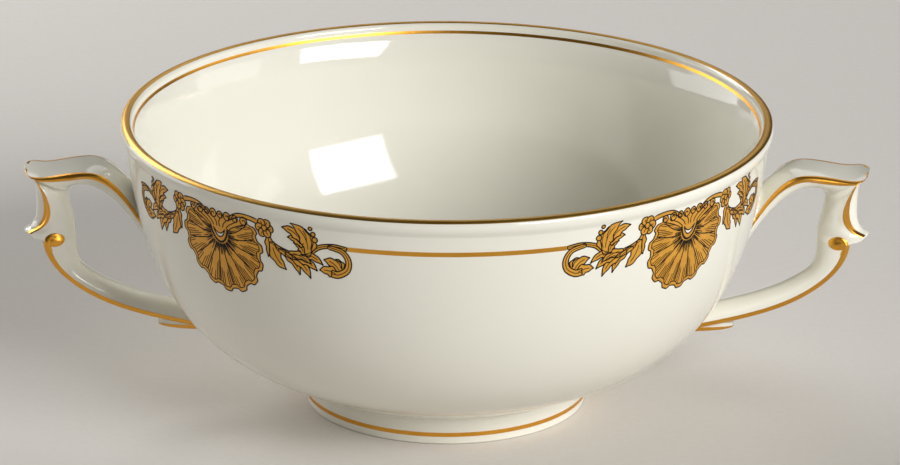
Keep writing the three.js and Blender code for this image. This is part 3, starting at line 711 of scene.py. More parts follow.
rim_line = [on_lip(turn) for turn in spread(rim_gilt_from, rim_gilt_to, rim_line_steps)]
rim_outward = [(place - lip).normalized() for place in rim_line]
gilt_band("rim_gold", rim_line, rim_outward, burnished_gold, "rim_gilding")
flare_places = traced(inner_flare, flare_samples)
flare_length = sum((b - a).length for a, b in zip(flare_places, flare_places[1:]))
inner_line_top = inner_line_drop / flare_length
inner_line_foot = (inner_line_drop + inner_line_width) / flare_length
inner_line = []
inner_outward = []
for share in spread(inner_line_top, inner_line_foot, inner_line_steps):
    inner_line.append(on_curve(inner_flare, share))
    inner_outward.append(outward_of(along_curve(inner_flare, share)))
gilt_band("inner_gold", inner_line, inner_outward, satin_gold, "inner_gold_line")
foot_line_top = foot_line_height + foot_line_width
foot_line = [foot_low + up_foot * rise for rise in spread(foot_line_height, foot_line_top, foot_line_steps)]
gilt_band("foot_gold", foot_line, [outward_of(up_foot)] * len(foot_line), satin_gold, "foot_gold_line")

# Gilded edges of the handles
# The gilder draws gold along the raised edges of each handle with a fine brush: round the thumb rest,
# down the stem, along the lower strap and its tail. The line of the rest thins out to a point on the wall.
strap_edge = face_steps  # first column of the raised edge in a strap's rings
gilt_columns = {"rest": (-1, 8), "stem": (-1, 6), "lower": (1, 7)}  # of the edge's columns, from the face
gilt_runs = {
    "rest": (first_ring["rise"], last_ring["tongue"]),
    "stem": (first_ring["stem"], last_ring["stem"]),
    "lower": (first_ring["scroll"], last_ring["lower"]),
}
point_share = 0.42  # share of the rest's line in which it thins out to the wall
point_width = 0.05  # share of its width that is left there
rest_widths = (1.5, 3.0)  # of its line at the wall and at the tongue, where the edge is broader than that
tail_gilt_columns = (3, 10)  # of the tail's columns, from the middle of its lower face
tail_gilt_rings = (8, 38)

# The faces of each handle, with the side of the right handle's strap that they are made on: -1 is -Y, 1 is
# +Y. The left handle is the right one turned half round, so its front is made on the other side.
handle_faces = [
    ("left", "front", 1),
    ("left", "back", -1),
    ("right", "front", -1),
    ("right", "back", 1),
]


def gilt_strip(grid, rings, columns, thin_out=0, widths=None):
    """A gold film over some rings and columns of a grid, thinned out to a point over its first share."""
    first, last = columns
    numbers = np.arange(rings[0], rings[1] + 1)[:, None]
    share = np.linspace(0, 1, len(numbers))[:, None]
    breadth = np.clip(share / thin_out, point_width, 1) if thin_out else np.ones_like(share)
    if widths:
        steps = np.diff(grid[numbers, np.arange(first, last + 1)], axis=1)
        edge_width = np.linalg.norm(steps, axis=2).sum(axis=1, keepdims=True)
        width = widths[0] + (widths[1] - widths[0]) * share
        breadth = breadth * np.clip(width / edge_width, 0, 1)
    middle = (first + last) / 2
    column = middle + (np.arange(first, last + 1) - middle) * breadth
    whole = np.minimum(np.floor(column).astype(int), last - 1)
    part = (column - whole)[..., None]
    out = grid_normals(grid)
    skin = grid[numbers, whole] * (1 - part) + grid[numbers, whole + 1] * part
    out = out[numbers, whole] * (1 - part) + out[numbers, whole + 1] * part
    return loft(np.concatenate([skin + out * gilt_lift, (skin - out * gilt_sink)[:, ::-1]], axis=1))


def columns_on(side, size, columns):
    """Columns counted from the middle of the face down one side."""
    return columns if side < 0 else (size - columns[1], size - columns[0])


for hand, face, side in handle_faces:
    strips = {}
    for line, rings in gilt_runs.items():
        columns = [strap_edge + step for step in gilt_columns[line]]
        ends = (point_share, rest_widths) if line == "rest" else ()
        strips[line] = gilt_strip(strap, rings, columns_on(side, strap.shape[1], columns), *ends)
    columns = columns_on(side, tail.shape[1], tail_gilt_columns)
    strips["tail"] = gilt_strip(tail, tail_gilt_rings, columns)
    for line, strip in strips.items():
        piece = add_piece(f"{hand}_{line}_gold_{face}", [strip], satin_gold, hand == "left")
        settle(piece, "gilding", f"{hand}_{line}_gilding_{face}")

# Volutes
# A small relief on both sides of each handle under the ledge, moulded with it and gilded all over:
# an oval eye, with a curl that leads from the edge of the scroll round into it.
eye_radius, eye_height = 1.35, 0.28
eye_stretch = 1.45  # the eye is that much broader than high
eye_inset = 2.3  # from the back of the scroll in to the eye
eye_drop = 1.3  # from the ledge down to the eye
curl_half_width, curl_height = 0.6, 0.3
curl_line = ((1.0, -2.3), (1.4, -1.1), (1.25, 0.0), (0.6, 0.7), (-0.4, 0.8))  # from the eye
dome_steps, dome_sides = 10, 28
curl_steps, curl_sides = 8, 16

eye = at(scroll_reach - eye_inset, 0, ledge_drop + eye_drop)
strap_corners, strap_faces = loft(strap)
strap_skin = BVHTree.FromPolygons(strap_corners.tolist(), strap_faces)


def on_strap_side(x, z):
    """The place on the -Y side of the strap."""
    return strap_skin.ray_cast(Vector((x, -rest_half * 2, z)), Vector((0, 1, 0)))[0]


def smooth_line(places, steps):
    """A smooth line through places."""
    knots = [Vector(place) for place in places]
    knots = [2 * knots[0] - knots[1], *knots, 2 * knots[-1] - knots[-2]]
    line = []
    for a, b, c, d in zip(knots, knots[1:], knots[2:], knots[3:]):
        line += traced([b, b + (c - a) / 6, c - (d - b) / 6, c], steps)[:-1]
    return [*line, knots[-2]]


def mirrored(part, flip):
    """A part with some axes flipped, and its faces turned round, so that they point outwards again."""
    corners, faces = part
    return np.array(corners) * flip, [list(face)[::-1] for face in faces]


dome_rings = []
for rise in spread(0, 90, dome_steps)[:-1]:
    reach = eye_radius * math.cos(math.radians(rise))
    lift = eye_height * math.sin(math.radians(rise))
    dome_ring = []
    for turn in spread(0, math.tau, dome_sides)[:-1]:
        out, up = math.cos(turn) * eye_stretch, math.sin(turn)
        under = on_strap_side(eye.x + out * reach, eye.z + up * reach)
        dome_ring.append((under.x, under.y - lift, under.z))
    dome_rings.append(dome_ring)
root_ring = [(x, y + eye_height, z) for x, y, z in dome_rings[0]]
dome = np.array([root_ring, *dome_rings])
curl_rings = []
curl_path = smooth_line(curl_line, curl_steps)
for step, place in enumerate(curl_path):
    along = curl_path[min(step + 1, len(curl_path) - 1)] - curl_path[max(step - 1, 0)]
    away = Vector((along.y, -along.x)).normalized() * curl_half_width
    curl_ring = []
    for turn in spread(0, math.tau, curl_sides)[:-1]:
        out, up = place + away * math.cos(turn)
        under = on_strap_side(eye.x + out, eye.z + up)
        curl_ring.append((under.x, under.y - math.sin(turn) * curl_height, under.z))
    curl_rings.append(curl_ring)
curl = np.array(curl_rings)
for hand, face, side in handle_faces:
    relief = [loft(dome), loft(curl)]
    if side > 0:
        relief = [mirrored(part, (1, -1, 1)) for part in relief]
    piece = add_piece(f"{hand}_volute_gold_{face}", relief, satin_gold, hand == "left")
    settle(piece, "gilding", f"{hand}_volute_gilding_{face}")

# Shell transfers
# One scallop shell on each quarter of the wall, printed on a transfer sheet in matt gold and black
# enamel, slid on to the glaze and fired on: a fan of eleven lobes under a crest of small curls.
motif_turn = 2  # degrees by which the ring of transfers is turned against the handles
umbo_drop = 8.5  # from the rim down to the umbo, where the ribs start
shell_height = 11.8
shell_shoulder = 8.6
shell_opening = 116  # degrees between the middle rib and the upper corners
shell_crest = 4.0
scallops = 11
scallop_depth, scallop_fullness = 0.4, 2.5
rim_inset = 0.8  # from the shell's edge in to its inner line
transfer_lift, transfer_sink = 0.03, 0.04
ink_lift = 0.06
ink_width, hatch_width = 0.24, 0.14
stroke_blunt, stroke_fullness = 0.12, 4  # how blunt a stroke's ends are, and how soon it is at full width
film_step = 1.5  # between the points inside a film, so that it follows the wall
film_weld = 1e-5  # corners nearer than that are one

umbo_height = bowl_height - umbo_drop
wrap_radius = wall_radius(umbo_height)

# Matt gold of a transfer: printed dots of gold in a dull flux, an even ochre with a fine grain and a
# faint sheen where it catches the light.
matt_gold_full = "#ecae40"
matt_gold_thin = "#d89a36"
matt_gold_metallic = 0.4
matt_gold_smoothest, matt_gold_roughest = 0.42, 0.6
print_grain = 0.35  # size of the printed dots, drawn coarser than real so that they show
print_cloud = 4  # size of the fuller and thinner places
print_thin, print_full = 0.1, 0.4  # strength of grain and clouds together where the gold is thin and full

matt_gold, tree, shader, place = new_material("matt gold transfer")
grain = add_node(tree, "ShaderNodeTexNoise", {
    "Vector": place,
    "Scale": 1 / (print_grain * MM),
    "Detail": 4,
})
clouds = add_node(tree, "ShaderNodeTexNoise", {"Vector": place, "Scale": 1 / (print_cloud * MM)})
uneven = add_node(tree, "ShaderNodeMath", {
    0: grain.outputs[0],
    1: clouds.outputs[0],
}, operation="MULTIPLY")
strength = add_node(tree, "ShaderNodeMapRange", {
    "Value": uneven.outputs[0],
    "From Min": print_thin,
    "From Max": print_full,
})
tint = add_node(tree, "ShaderNodeMix", {
    0: strength.outputs[0],
    6: colour(matt_gold_thin),
    7: colour(matt_gold_full),
}, data_type="RGBA")
sheen = add_node(tree, "ShaderNodeMapRange", {
    "Value": grain.outputs[0],
    "To Min": matt_gold_smoothest,
    "To Max": matt_gold_roughest,
})
tree.links.new(tint.outputs[2], shader.inputs["Base Color"])
tree.links.new(sheen.outputs[0], shader.inputs["Roughness"])
shader.inputs["Metallic"].default_value = matt_gold_metallic

# Black enamel of the outlines and hatching: a warm, dull black with a faint brown grain
ink_full = "#0e0a06"
ink_thin = "#2b1d10"
ink_smoothest, ink_roughest = 0.45, 0.65
ink_shine = 0.2

ink, tree, shader, place = new_material("black enamel transfer")
grain = add_node(tree, "ShaderNodeTexNoise", {"Vector": place, "Scale": 1 / (print_grain * MM)})
tint = add_node(tree, "ShaderNodeMix", {
    0: grain.outputs[0],
    6: colour(ink_full),
    7: colour(ink_thin),
}, data_type="RGBA")
sheen = add_node(tree, "ShaderNodeMapRange", {
    "Value": grain.outputs[0],
    "To Min": ink_smoothest,
    "To Max": ink_roughest,
})
tree.links.new(tint.outputs[2], shader.inputs["Base Color"])
tree.links.new(sheen.outputs[0], shader.inputs["Roughness"])
shader.inputs["Specular IOR Level"].default_value = ink_shine

# Laying a flat film on the wall: x goes round it, y goes up it and z stands off it. Each place is found by
# a ray that comes in from well outside the bowl.
laying, given = new_tree("laid on the wall", Wall="NodeSocketObject", Turn="NodeSocketFloat",
                         Height="NodeSocketFloat", Wrap="NodeSocketFloat", Material="NodeSocketMaterial")
drawn = add_node(laying, "GeometryNodeInputPosition").outputs[0]
flat = add_node(laying, "ShaderNodeSeparateXYZ", {0: drawn})
ratio = add_node(laying, "ShaderNodeMath", {0: flat.outputs["X"], 1: given["Wrap"]}, operation="DIVIDE")
around = add_node(laying, "ShaderNodeMath", {0: ratio.outputs[0], 1: given["Turn"]}, operation="ADD")
rise = add_node(laying, "ShaderNodeMath", {0: flat.outputs["Y"], 1: given["Height"]}, operation="ADD")
far_front = add_node(laying, "ShaderNodeCombineXYZ", {"Y": -2 * rim_radius * MM, "Z": rise.outputs[0]})
start = add_node(laying, "ShaderNodeVectorRotate", {
    "Vector": far_front.outputs[0],
    "Angle": around.outputs[0],
}, rotation_type="Z_AXIS")
inward = add_node(laying, "ShaderNodeVectorRotate", {
    "Vector": (0, 1, 0),
    "Angle": around.outputs[0],
}, rotation_type="Z_AXIS")
wall_skin = add_node(laying, "GeometryNodeObjectInfo", {"Object": given["Wall"]})
hit = add_node(laying, "GeometryNodeRaycast", {
    "Target Geometry": wall_skin.outputs["Geometry"],
    "Source Position": start.outputs[0],
    "Ray Direction": inward.outputs[0],
})
lift = add_node(laying, "ShaderNodeVectorMath", {
    0: hit.outputs["Hit Normal"],
    "Scale": flat.outputs["Z"],
}, operation="SCALE")
place = add_node(laying, "ShaderNodeVectorMath", {
    0: hit.outputs["Hit Position"],
    1: lift.outputs[0],
}, operation="ADD")
laid = add_node(laying, "GeometryNodeSetPosition", {0: given["Geometry"], "Position": place.outputs[0]})
end_tree(laying, laid.outputs[0], given["Material"])


def ribbon(line, breadth):
    """Outline of a ribbon along a line; breadth gives its width at each share of the line."""
    left, right = [], []
    for step, place in enumerate(line):
        along = (line[min(step + 1, len(line) - 1)] - line[max(step - 1, 0)]).normalized()
        side = Vector((-along.y, along.x)) * breadth(step / (len(line) - 1)) / 2
        left.append(place + side)
        right.append(place - side)
    return right + left[::-1]


def disc(centre, radius, sides):
    return [Vector(centre) + Vector((math.cos(turn), math.sin(turn))) * radius
            for turn in spread(0, math.tau, sides)[:-1]]


def joined(outlines, holes):
    """Places and triangles of the area that outlines cover together, less the holes."""
    places, loops = [], []
    for outline in [*outlines, *holes]:
        area = sum(a.x * b.y - a.y * b.x for a, b in zip(outline, [*outline[1:], outline[0]]))
        loops.append(list(range(len(places), len(places) + len(outline))))
        places += outline if area > 0 else outline[::-1]
    low, high = np.min(places, axis=0), np.max(places, axis=0)
    for x in np.arange(low[0], high[0], film_step):
        places += [Vector((x, y)) for y in np.arange(low[1], high[1], film_step)]
    places, _, faces, _, _, owners = delaunay_2d_cdt(places, [], loops, 0, film_weld)
    kept = [face for face, owner in zip(faces, owners) if owner and max(owner) < len(outlines)]
    return places, kept


def edge_of(faces):
    """The edges that belong to one face only."""
    edges = {edge for face in faces for edge in zip(face, [*face[1:], face[0]])}
    return sorted(edge for edge in edges if edge[::-1] not in edges)


def film(places, faces):
    """Corners and faces of a closed film over triangles."""
    used = sorted({corner for face in faces for corner in face})
    number = {corner: index for index, corner in enumerate(used)}
    corners = [(*places[corner], transfer_lift) for corner in used]
    corners += [(*places[corner], -transfer_sink) for corner in used]
    under = len(used)
    tops = [[number[corner] for corner in face] for face in faces]
    skin = tops + [[under + corner for corner in face[::-1]] for face in tops]
    skin += [[under + number[a], under + number[b], number[b], number[a]] for a, b in edge_of(faces)]
    return corners, skin


def covered(places, outline):
    """Which places lie inside an outline."""
    places, corners = np.array(places)[:, None], np.array(outline)
    after = np.roll(corners, -1, axis=0)
    spans = (corners[:, 1] > places[..., 1]) != (after[:, 1] > places[..., 1])
    height = np.where(after[:, 1] == corners[:, 1], 1, after[:, 1] - corners[:, 1])
    crossing = corners[:, 0] + (after[:, 0] - corners[:, 0]) * (places[..., 1] - corners[:, 1]) / height
    return (spans & (places[..., 0] < crossing)).sum(axis=1) % 2 == 1


def stroke(line, width, closed=False):
    """Corners and faces of an ink line; an open one is drawn out to points."""
    line = np.array([tuple(place) for place in line])
    before, after = np.roll(line, 1, axis=0), np.roll(line, -1, axis=0)
    half = np.full(len(line), width / 2)
    if not closed:
        before[0], after[-1] = line[0], line[-1]
        swing = np.linspace(stroke_blunt, math.pi - stroke_blunt, len(line))
        half *= np.clip(np.sin(swing) * stroke_fullness, 0, 1)
    along = after - before
    along /= np.maximum(np.linalg.norm(along, axis=1, keepdims=True), tiny)
    side = np.stack([-along[:, 1], along[:, 0]], axis=1) * half[:, None]
    top, bottom = np.full((len(line), 1), ink_lift), np.full((len(line), 1), -transfer_sink)
    corners = [(line + side, top), (line - side, top), (line - side, bottom), (line + side, bottom)]
    grid = np.stack([np.concatenate(corner, axis=1) for corner in corners], axis=1)
    return loft(np.concatenate([grid, grid[:1]]) if closed else grid)


def inked(outlines, width):
    """Ink lines round outlines that lie on each other in layers, the last one on top."""
    lines = []
    for layer, outline in enumerate(outlines):
        hidden = np.zeros(len(outline), dtype=bool)
        for above in outlines[layer + 1:]:
            hidden |= covered(outline, above)
        if not hidden.any():
            lines.append(stroke(outline, width, closed=True))
            continue
        first = int(np.argmax(hidden))
        run = []
        for step in range(first, first + len(outline) + 1):
            corner = step % len(outline)
            if hidden[corner] and len(run) > 2:
                lines.append(stroke([*run, outline[corner]], width))
            run = [] if hidden[corner] else [*run, outline[corner]]
    return lines


def lay(name, part, material, turn, height, slot, *nodes):
    """Lays a flat part on the wall, with its own origin at a turn round the bowl and a height."""
    base = plain_mesh(name, part[0], [], part[1])
    piece = made_by(laying, name, base, Wall=glazed_bowl, Turn=turn, Height=height * MM,
                    Wrap=wrap_radius * MM, Material=material)
    settle(piece, slot, *nodes)


def on_shell(share, reach):
    """Place on the shell: across its fan from -1 to 1, and out from the umbo."""
    angle = math.radians(share * shell_opening)
    return Vector((math.sin(angle), -math.cos(angle))) * reach


def shell_reach(share):
    """How far the scalloped edge is from the umbo."""
    wave = math.tanh(scallop_fullness * math.cos(share * scallops * math.pi)) * scallop_depth
    return shell_height + (shell_shoulder - shell_height) * share ** 2 + wave


def fan_line(share, start, end, steps, gather=0):
    """A line outwards on the shell, with its start gathered in towards the middle rib."""
    return [on_shell(share * (1 - gather + gather * out), start + (end - start) * out)
            for out in spread(0, 1, steps)]


def unsteady(fan, step, beats):
    """A number from 0 to 1 that differs from line to line, as lengths do in a drawing by hand."""
    return abs(math.sin(fan * beats[0] + step * beats[1]))


# The shell's area: its scalloped edge, an arched crest with small curls on it, and a smile left open
shell_steps, crest_steps, smile_steps = 198, 30, 12
crest_curls = (-6.9, -4.9, -3.0, -1.2, 0.6, 2.4, 4.4, 6.5)  # from the middle of the shell
crest_curl_drop, crest_curl_radii, crest_curl_sides = 0.15, (0.7, 0.85), 14
smile_lower = ((-1.5, 1.0), (-0.9, -1.4), (0.9, -1.4), (1.5, 1.0))
smile_upper = ((1.5, 1.0), (0.6, -0.4), (-0.6, -0.4), (-1.5, 1.0))

shell_edge = [on_shell(share, shell_reach(share)) for share in spread(-1, 1, shell_steps)]
crest = [shell_edge[-1], Vector((0, 2 * shell_crest - shell_edge[0].y)), shell_edge[0]]
shell_edge += traced(crest, crest_steps)[1:-1]
curl_discs = []
for step, x in enumerate(crest_curls):
    radius = crest_curl_radii[step % 2]
    curl_discs.append(disc((x, shell_crest - crest_curl_drop), radius, crest_curl_sides))
smile = traced(smile_lower, smile_steps) + traced(smile_upper, smile_steps)[1:-1]
shell_film = film(*joined([shell_edge, *curl_discs], [smile]))

# The shell's ink: outlines, a line inside the edge, ribs between the lobes, hatching from the edge inwards
# and from the umbo outwards, a heavy brow under the smile, and a spiral with a tail for each curl
inner_edge_share, inner_edge_steps = 0.97, 150
rib_share, rib_start, rib_gather, rib_steps = 0.98, 2.3, 0.14, 14
hatch_steps = 6
edge_hatches, edge_hatch_gap, edge_beats = (-3, -2, -1, 1, 2, 3), 0.28, (2.3, 1.7)
edge_hatch_length, edge_hatch_growth, edge_hatch_change = 0.1, 0.09, 0.1  # shares of the reach
umbo_hatches, umbo_hatch_gap, umbo_beats = (-1.5, -0.5, 0.5, 1.5), 0.45, (1.9, 2.1)
umbo_hatch_start, umbo_hatch_end, umbo_hatch_change = 2.2, 3.0, 1.8
brow, brow_steps = ((-2.2, 1.3), (-1.7, -2.9), (1.7, -2.9), (2.2, 1.3)), 24
spiral_drop, spiral_start, spiral_growth, spiral_turn, spiral_steps = 0.3, 0.2, 0.09, 4.4, 14
spiral_tail_drop, spiral_tail_bow, spiral_tail_steps = 0.9, 0.3, 5
spiral_tail_bend, spiral_tail_end = 0.72, 0.42  # shares of the way out from the umbo
brow_weight, spiral_weight, fine_weight = 1.8, 0.9, 0.8  # times the outline's width
rib_weight, umbo_hatch_weight = 1.5, 1.3  # times the hatching's width

shell_lines = inked([shell_edge, *curl_discs], ink_width) + inked([smile], ink_width)
inner_shares = spread(-inner_edge_share, inner_edge_share, inner_edge_steps)
inner_edge_line = [on_shell(share, shell_reach(share) - rim_inset) for share in inner_shares]
shell_lines.append(stroke(inner_edge_line, ink_width * fine_weight))
for rib in range(-scallops, scallops + 1, 2):
    share = rib / scallops * rib_share
    rib_line = fan_line(share, rib_start, shell_reach(share) - rim_inset, rib_steps, rib_gather)
    shell_lines.append(stroke(rib_line, hatch_width * rib_weight))
for fan in range(-scallops + 1, scallops, 2):
    for step in edge_hatches:
        share = (fan + step * edge_hatch_gap) / scallops
        end = shell_reach(share) - rim_inset
        length = edge_hatch_length + edge_hatch_growth * abs(step)
        length += edge_hatch_change * unsteady(fan, step, edge_beats)
        shell_lines.append(stroke(fan_line(share, end * (1 - length), end, hatch_steps), hatch_width))
    for step in umbo_hatches:
        share = (fan + step * umbo_hatch_gap) / scallops
        end = umbo_hatch_end + umbo_hatch_change * unsteady(fan, step, umbo_beats)
        umbo_hatch = fan_line(share, umbo_hatch_start, end, hatch_steps)
        shell_lines.append(stroke(umbo_hatch, hatch_width * umbo_hatch_weight))
shell_lines.append(stroke(traced(brow, brow_steps), ink_width * brow_weight))
for x in crest_curls:
    way = 1 if x < 0 else -1
    spiral = []
    for turn in spread(0, spiral_turn, spiral_steps):
        out = Vector((way * math.cos(turn), math.sin(turn))) * (spiral_start + spiral_growth * turn)
        spiral.append(Vector((x, shell_crest - spiral_drop)) + out)
    shell_lines.append(stroke(spiral, ink_width * spiral_weight))
    tail_start = Vector((x, shell_crest - spiral_tail_drop))
    tail_bend = tail_start * spiral_tail_bend + Vector((way * spiral_tail_bow, 0))
    spiral_tail = smooth_line([tail_start, tail_bend, tail_start * spiral_tail_end], spiral_tail_steps)
    shell_lines.append(stroke(spiral_tail, ink_width * fine_weight))
shell_ink = gathered(shell_lines)

quarters = {"front_right": 1, "back_right": 3, "back_left": 5, "front_left": 7}  # eighths of a turn
quarter_turns = {}
for quarter, eighth in quarters.items():
    quarter_turns[quarter] = eighth * math.pi / 4 + math.radians(motif_turn)
for quarter, turn in quarter_turns.items():
    shell = f"{quarter}_shell"
    lay(f"{shell}_gold", shell_film, matt_gold, turn, umbo_height, "transfer", shell)
    lay(f"{shell}_ink", shell_ink, ink, turn, umbo_height, "transfer")

# Spray transfers
# An acanthus spray on both sides of each shell, from the same sheet: an arched stem with a flower and
# a bud, a scrolling stem with pointed leaves above and below it, and a curled leaf at its end.
spray_reach = 28.4  # from the umbo out to the border line
flame_fullness = 1.28
flame_root, flame_point = 0.1, 0.02  # how far its swelling is on at its base, and its width at the tip
flame_steps, vein_from, vein_to = 24, 4, 20
lobe_count, lobe_depth = 2.5, 0.16  # waves along the edges of a leaf

# A flame is one lobe of an acanthus leaf: base, tip, how far it bows to the left, and its width
upper_flames = [
    ((19.4, -0.7), (17.5, 1.7), -0.8, 1.2),
    ((19.2, 1.0), (16.3, 2.6), -0.7, 1.2),
    ((19.5, 1.7), (15.2, 4.5), -0.8, 1.4),
    ((20.4, 0.0), (20.4, 4.4), -0.9, 1.5),
    ((20.0, 1.4), (18.9, 5.1), -0.8, 1.4),
    ((20.3, -0.7), (17.2, 5.7), -1.4, 1.9),
]
lower_flames = [
    ((12.8, 0.9), (15.5, -4.3), -0.7, 1.8),
    ((14.2, -0.4), (18.4, -4.9), 1.0, 1.3),
    ((15.6, -1.0), (20.6, -5.3), 1.1, 1.5),
    ((17.0, -1.4), (22.1, -3.5), 0.8, 1.4),
    ((17.8, -0.8), (23.4, -2.1), 1.0, 1.3),
    ((16.4, -0.6), (21.0, -2.2), 0.5, 1.2),
]
end_flames = [
    ((26.9, -2.9), (25.5, -0.7), -0.6, 1.3),
    ((26.8, -3.6), (23.6, -0.9), -0.8, 1.7),
    ((26.4, -4.0), (22.6, -3.2), -0.5, 1.6),
]
arch_stem = [(2.8, 3.6), (5.2, 4.8), (7.6, 4.9), (9.8, 4.4), (11.4, 3.4)]
scroll_stem = [
    (11.7, 2.6), (12.6, 0.7), (15.2, -0.5), (18.2, -0.8),
    (20.8, 0.1), (22.8, 1.5), (25.6, 2.1), (28.3, 1.8),
]
end_curl = [(24.6, 1.9), (27.4, 1.1), (28.5, -0.7), (28.1, -2.6), (26.4, -3.7), (25.0, -3.6)]
arch_width, arch_gain = 0.7, 0.3  # at the start, and what it gains on the way
scroll_width, scroll_gain = 1.2, -0.5
end_curl_width, end_curl_gain = 0.8, 0.7
stem_steps = 8  # from one place of a stem to the next
bud = ((11.9, 2.6), (11.7, -2.3), 0.35, 1.3)
flower_centre = Vector((11.3, 3.5))
flower_eye, flower_eye_sides = 0.6, 14
petals, petal_reach, petal_radius, petal_sides = 6, 1.15, 0.85, 16
petal_vein_from, petal_vein_to, petal_vein_steps = 0.5, 1.3, 5  # shares of the petal's reach
dots = [((22.0, 2.9), 0.55), ((21.7, 4.0), 0.45), ((21.2, 5.1), 0.38)]  # places and radii
dot_sides = 12


def flame(base, tip, bow, width):
    """Outline and vein of a lobe."""
    base, tip = Vector(base), Vector(tip)
    square = Vector((base.y - tip.y, tip.x - base.x)).normalized()
    line = traced([base, (base + tip) / 2 + square * bow * 2, tip], flame_steps)

    def breadth(share):
        lobes = 1 + lobe_depth * math.cos(share * math.tau * lobe_count)
        swelling = math.sin(math.pi * (flame_root + (1 - flame_root) * share))
        return flame_fullness * width * lobes * swelling + flame_point

    return ribbon(line, breadth), line[vein_from:vein_to]


def stem(places, width, gain):
    """Outline of a stem that grows broader or finer on its way."""
    return ribbon(smooth_line(places, stem_steps), lambda share: width + gain * share)


spray_outlines = [
    stem(arch_stem, arch_width, arch_gain),
    stem(scroll_stem, scroll_width, scroll_gain),
]
spray_lines = []
for leaf in [bud, *lower_flames, *upper_flames, *end_flames]:
    outline, vein = flame(*leaf)
    spray_outlines.append(outline)
    spray_lines.append(stroke(vein, hatch_width))
spray_outlines.append(stem(end_curl, end_curl_width, end_curl_gain))
spray_outlines += [disc(centre, radius, dot_sides) for centre, radius in dots]
for turn in spread(0, math.tau, petals)[:-1]:
    petal = flower_centre + Vector((math.cos(turn), math.sin(turn))) * petal_reach
    spray_outlines.append(disc(petal, petal_radius, petal_sides))
    vein_shares = spread(petal_vein_from, petal_vein_to, petal_vein_steps)
    spray_lines.append(stroke([flower_centre.lerp(petal, share) for share in vein_shares], hatch_width))
spray_outlines.append(disc(flower_centre, flower_eye, flower_eye_sides))
spray_lines.append(stroke(smooth_line(scroll_stem[1:], stem_steps), hatch_width))
spray_lines.append(stroke(smooth_line(end_curl, stem_steps), hatch_width))
spray_lines += inked(spray_outlines, ink_width)
spray_film = film(*joined(spray_outlines, []))
spray_ink = gathered(spray_lines)
other_way = (-1, 1, 1)
sprays = {
    "clockwise": (spray_film, spray_ink),
    "counter": (mirrored(spray_film, other_way), mirrored(spray_ink, other_way)),
}
for quarter, turn in quarter_turns.items():
    for way, (gold_part, ink_part) in sprays.items():
        spray = f"{quarter}_spray_{way}"
        lay(f"{spray}_gold", gold_part, matt_gold, turn, umbo_height, "transfer", spray)
        lay(f"{spray}_ink", ink_part, ink, turn, umbo_height, "transfer")

# Border lines
# Gold again, by brush on the turning wheel: one line across the front and one across the back,
# from the end of one spray to the end of the next.
border_drop = 6.7  # from the rim down to the line
border_width = 0.9
border_gap = 0.05  # between a spray's end and the line
border_steps = 60

border_half = wrap_radius * math.pi / 4 - spray_reach - border_gap
border_rings = [[(x, border_width / 2, -gilt_sink), (x, border_width / 2, gilt_lift),
                 (x, -border_width / 2, gilt_lift), (x, -border_width / 2, -gilt_sink)]
                for x in spread(-border_half, border_half, border_steps)]
border = loft(np.array(border_rings))
border_height = bowl_height - border_drop
for face, half_turn in (("front", 0), ("back", math.pi)):
    turn = half_turn + math.radians(motif_turn)
    lay(f"border_gold_{face}", border, satin_gold, turn, border_height, "gilding", f"border_line_{face}")

# Floor, light and camera
# A sheet of pale grey paper, one large softbox at the front right, two weak ones behind the bowl, a
# weak fill from each side, and a long lens that looks down at the bowl.
paper_pale = "#e2ded8"
paper_dull = "#dbd6d0"
paper_grain = 1.5  # size of its flecks
paper_roughness = 0.85
floor_half = 3000
room_white = "#f4f2ee"
room_strength = 0.05
sensor_width, lens_length = 36, 204.25
camera_place = (0.687, -950.756, 368.216)
camera_fall, camera_roll = 19.371, 0.262  # degrees

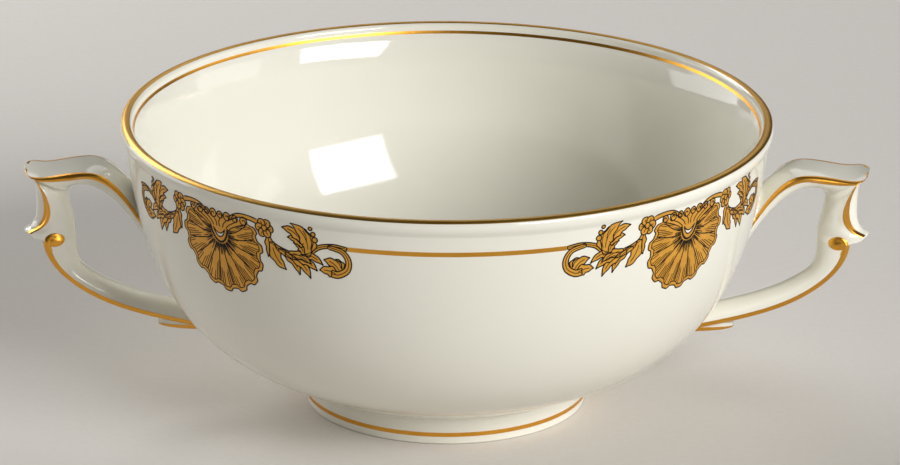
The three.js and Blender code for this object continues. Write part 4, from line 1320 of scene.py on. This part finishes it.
paper, tree, shader, place = new_material("grey paper")
grain = add_node(tree, "ShaderNodeTexNoise", {
    "Vector": place,
    "Scale": 1 / (paper_grain * MM),
    "Detail": 6,
})
tint = add_node(tree, "ShaderNodeMix", {
    0: grain.outputs[0],
    6: colour(paper_pale),
    7: colour(paper_dull),
}, data_type="RGBA")
tree.links.new(tint.outputs[2], shader.inputs["Base Color"])
shader.inputs["Roughness"].default_value = paper_roughness
floor_corners = [(-floor_half, -floor_half, 0), (floor_half, -floor_half, 0),
                 (floor_half, floor_half, 0), (-floor_half, floor_half, 0)]
floor_mesh = plain_mesh("paper_floor", floor_corners, [], [(0, 1, 2, 3)])
floor_mesh.materials.append(paper)
floor = bpy.data.objects.new("paper_floor", floor_mesh)
bpy.context.scene.collection.objects.link(floor)

# Degrees to the right of the front and up from the table, distance and size, and power
softboxes = {
    "key_softbox": {"turn": 43, "rise": 25.5, "away": 2000, "size": (1140, 840), "watts": 36},
    "back_left_softbox": {"turn": -143, "rise": 30, "away": 900, "size": (400, 300), "watts": 2.9},
    "back_softbox": {"turn": 170, "rise": 35, "away": 1400, "size": (800, 600), "watts": 1.6},
    "left_fill": {"turn": -118, "rise": 11, "away": 1200, "size": (900, 600), "watts": 5.2},
    "right_fill": {"turn": 95, "rise": 14, "away": 1200, "size": (700, 500), "watts": 1.5},
}
for name, box in softboxes.items():
    lamp = bpy.data.lights.new(name, "AREA")
    lamp.shape = "RECTANGLE"
    lamp.size, lamp.size_y = [side * MM for side in box["size"]]
    lamp.energy = box["watts"]
    turn, rise = math.radians(box["turn"]), math.radians(box["rise"])
    towards = Vector((math.sin(turn) * math.cos(rise), -math.cos(turn) * math.cos(rise), math.sin(rise)))
    light = bpy.data.objects.new(name, lamp)
    light.location = towards * (box["away"] * MM) + Vector((0, 0, bowl_height / 2 * MM))
    light.rotation_euler = towards.to_track_quat("Z", "Y").to_euler()
    bpy.context.scene.collection.objects.link(light)

room = bpy.data.worlds.new("white room")
room.use_nodes = True
room.node_tree.nodes["Background"].inputs["Color"].default_value = colour(room_white)
room.node_tree.nodes["Background"].inputs["Strength"].default_value = room_strength
bpy.context.scene.world = room
bpy.context.scene.view_settings.view_transform = "Standard"

lens = bpy.data.cameras.new("long_lens")
lens.sensor_width = sensor_width
lens.lens = lens_length
camera = bpy.data.objects.new("long_lens", lens)
camera.location = [place * MM for place in camera_place]
look_down, roll = math.radians(camera_fall), math.radians(camera_roll)
tilt = Matrix.Rotation(math.pi / 2 - look_down, 3, "X") @ Matrix.Rotation(roll, 3, "Z")
camera.rotation_euler = tilt.to_euler()
bpy.context.scene.collection.objects.link(camera)
bpy.context.scene.camera = camera
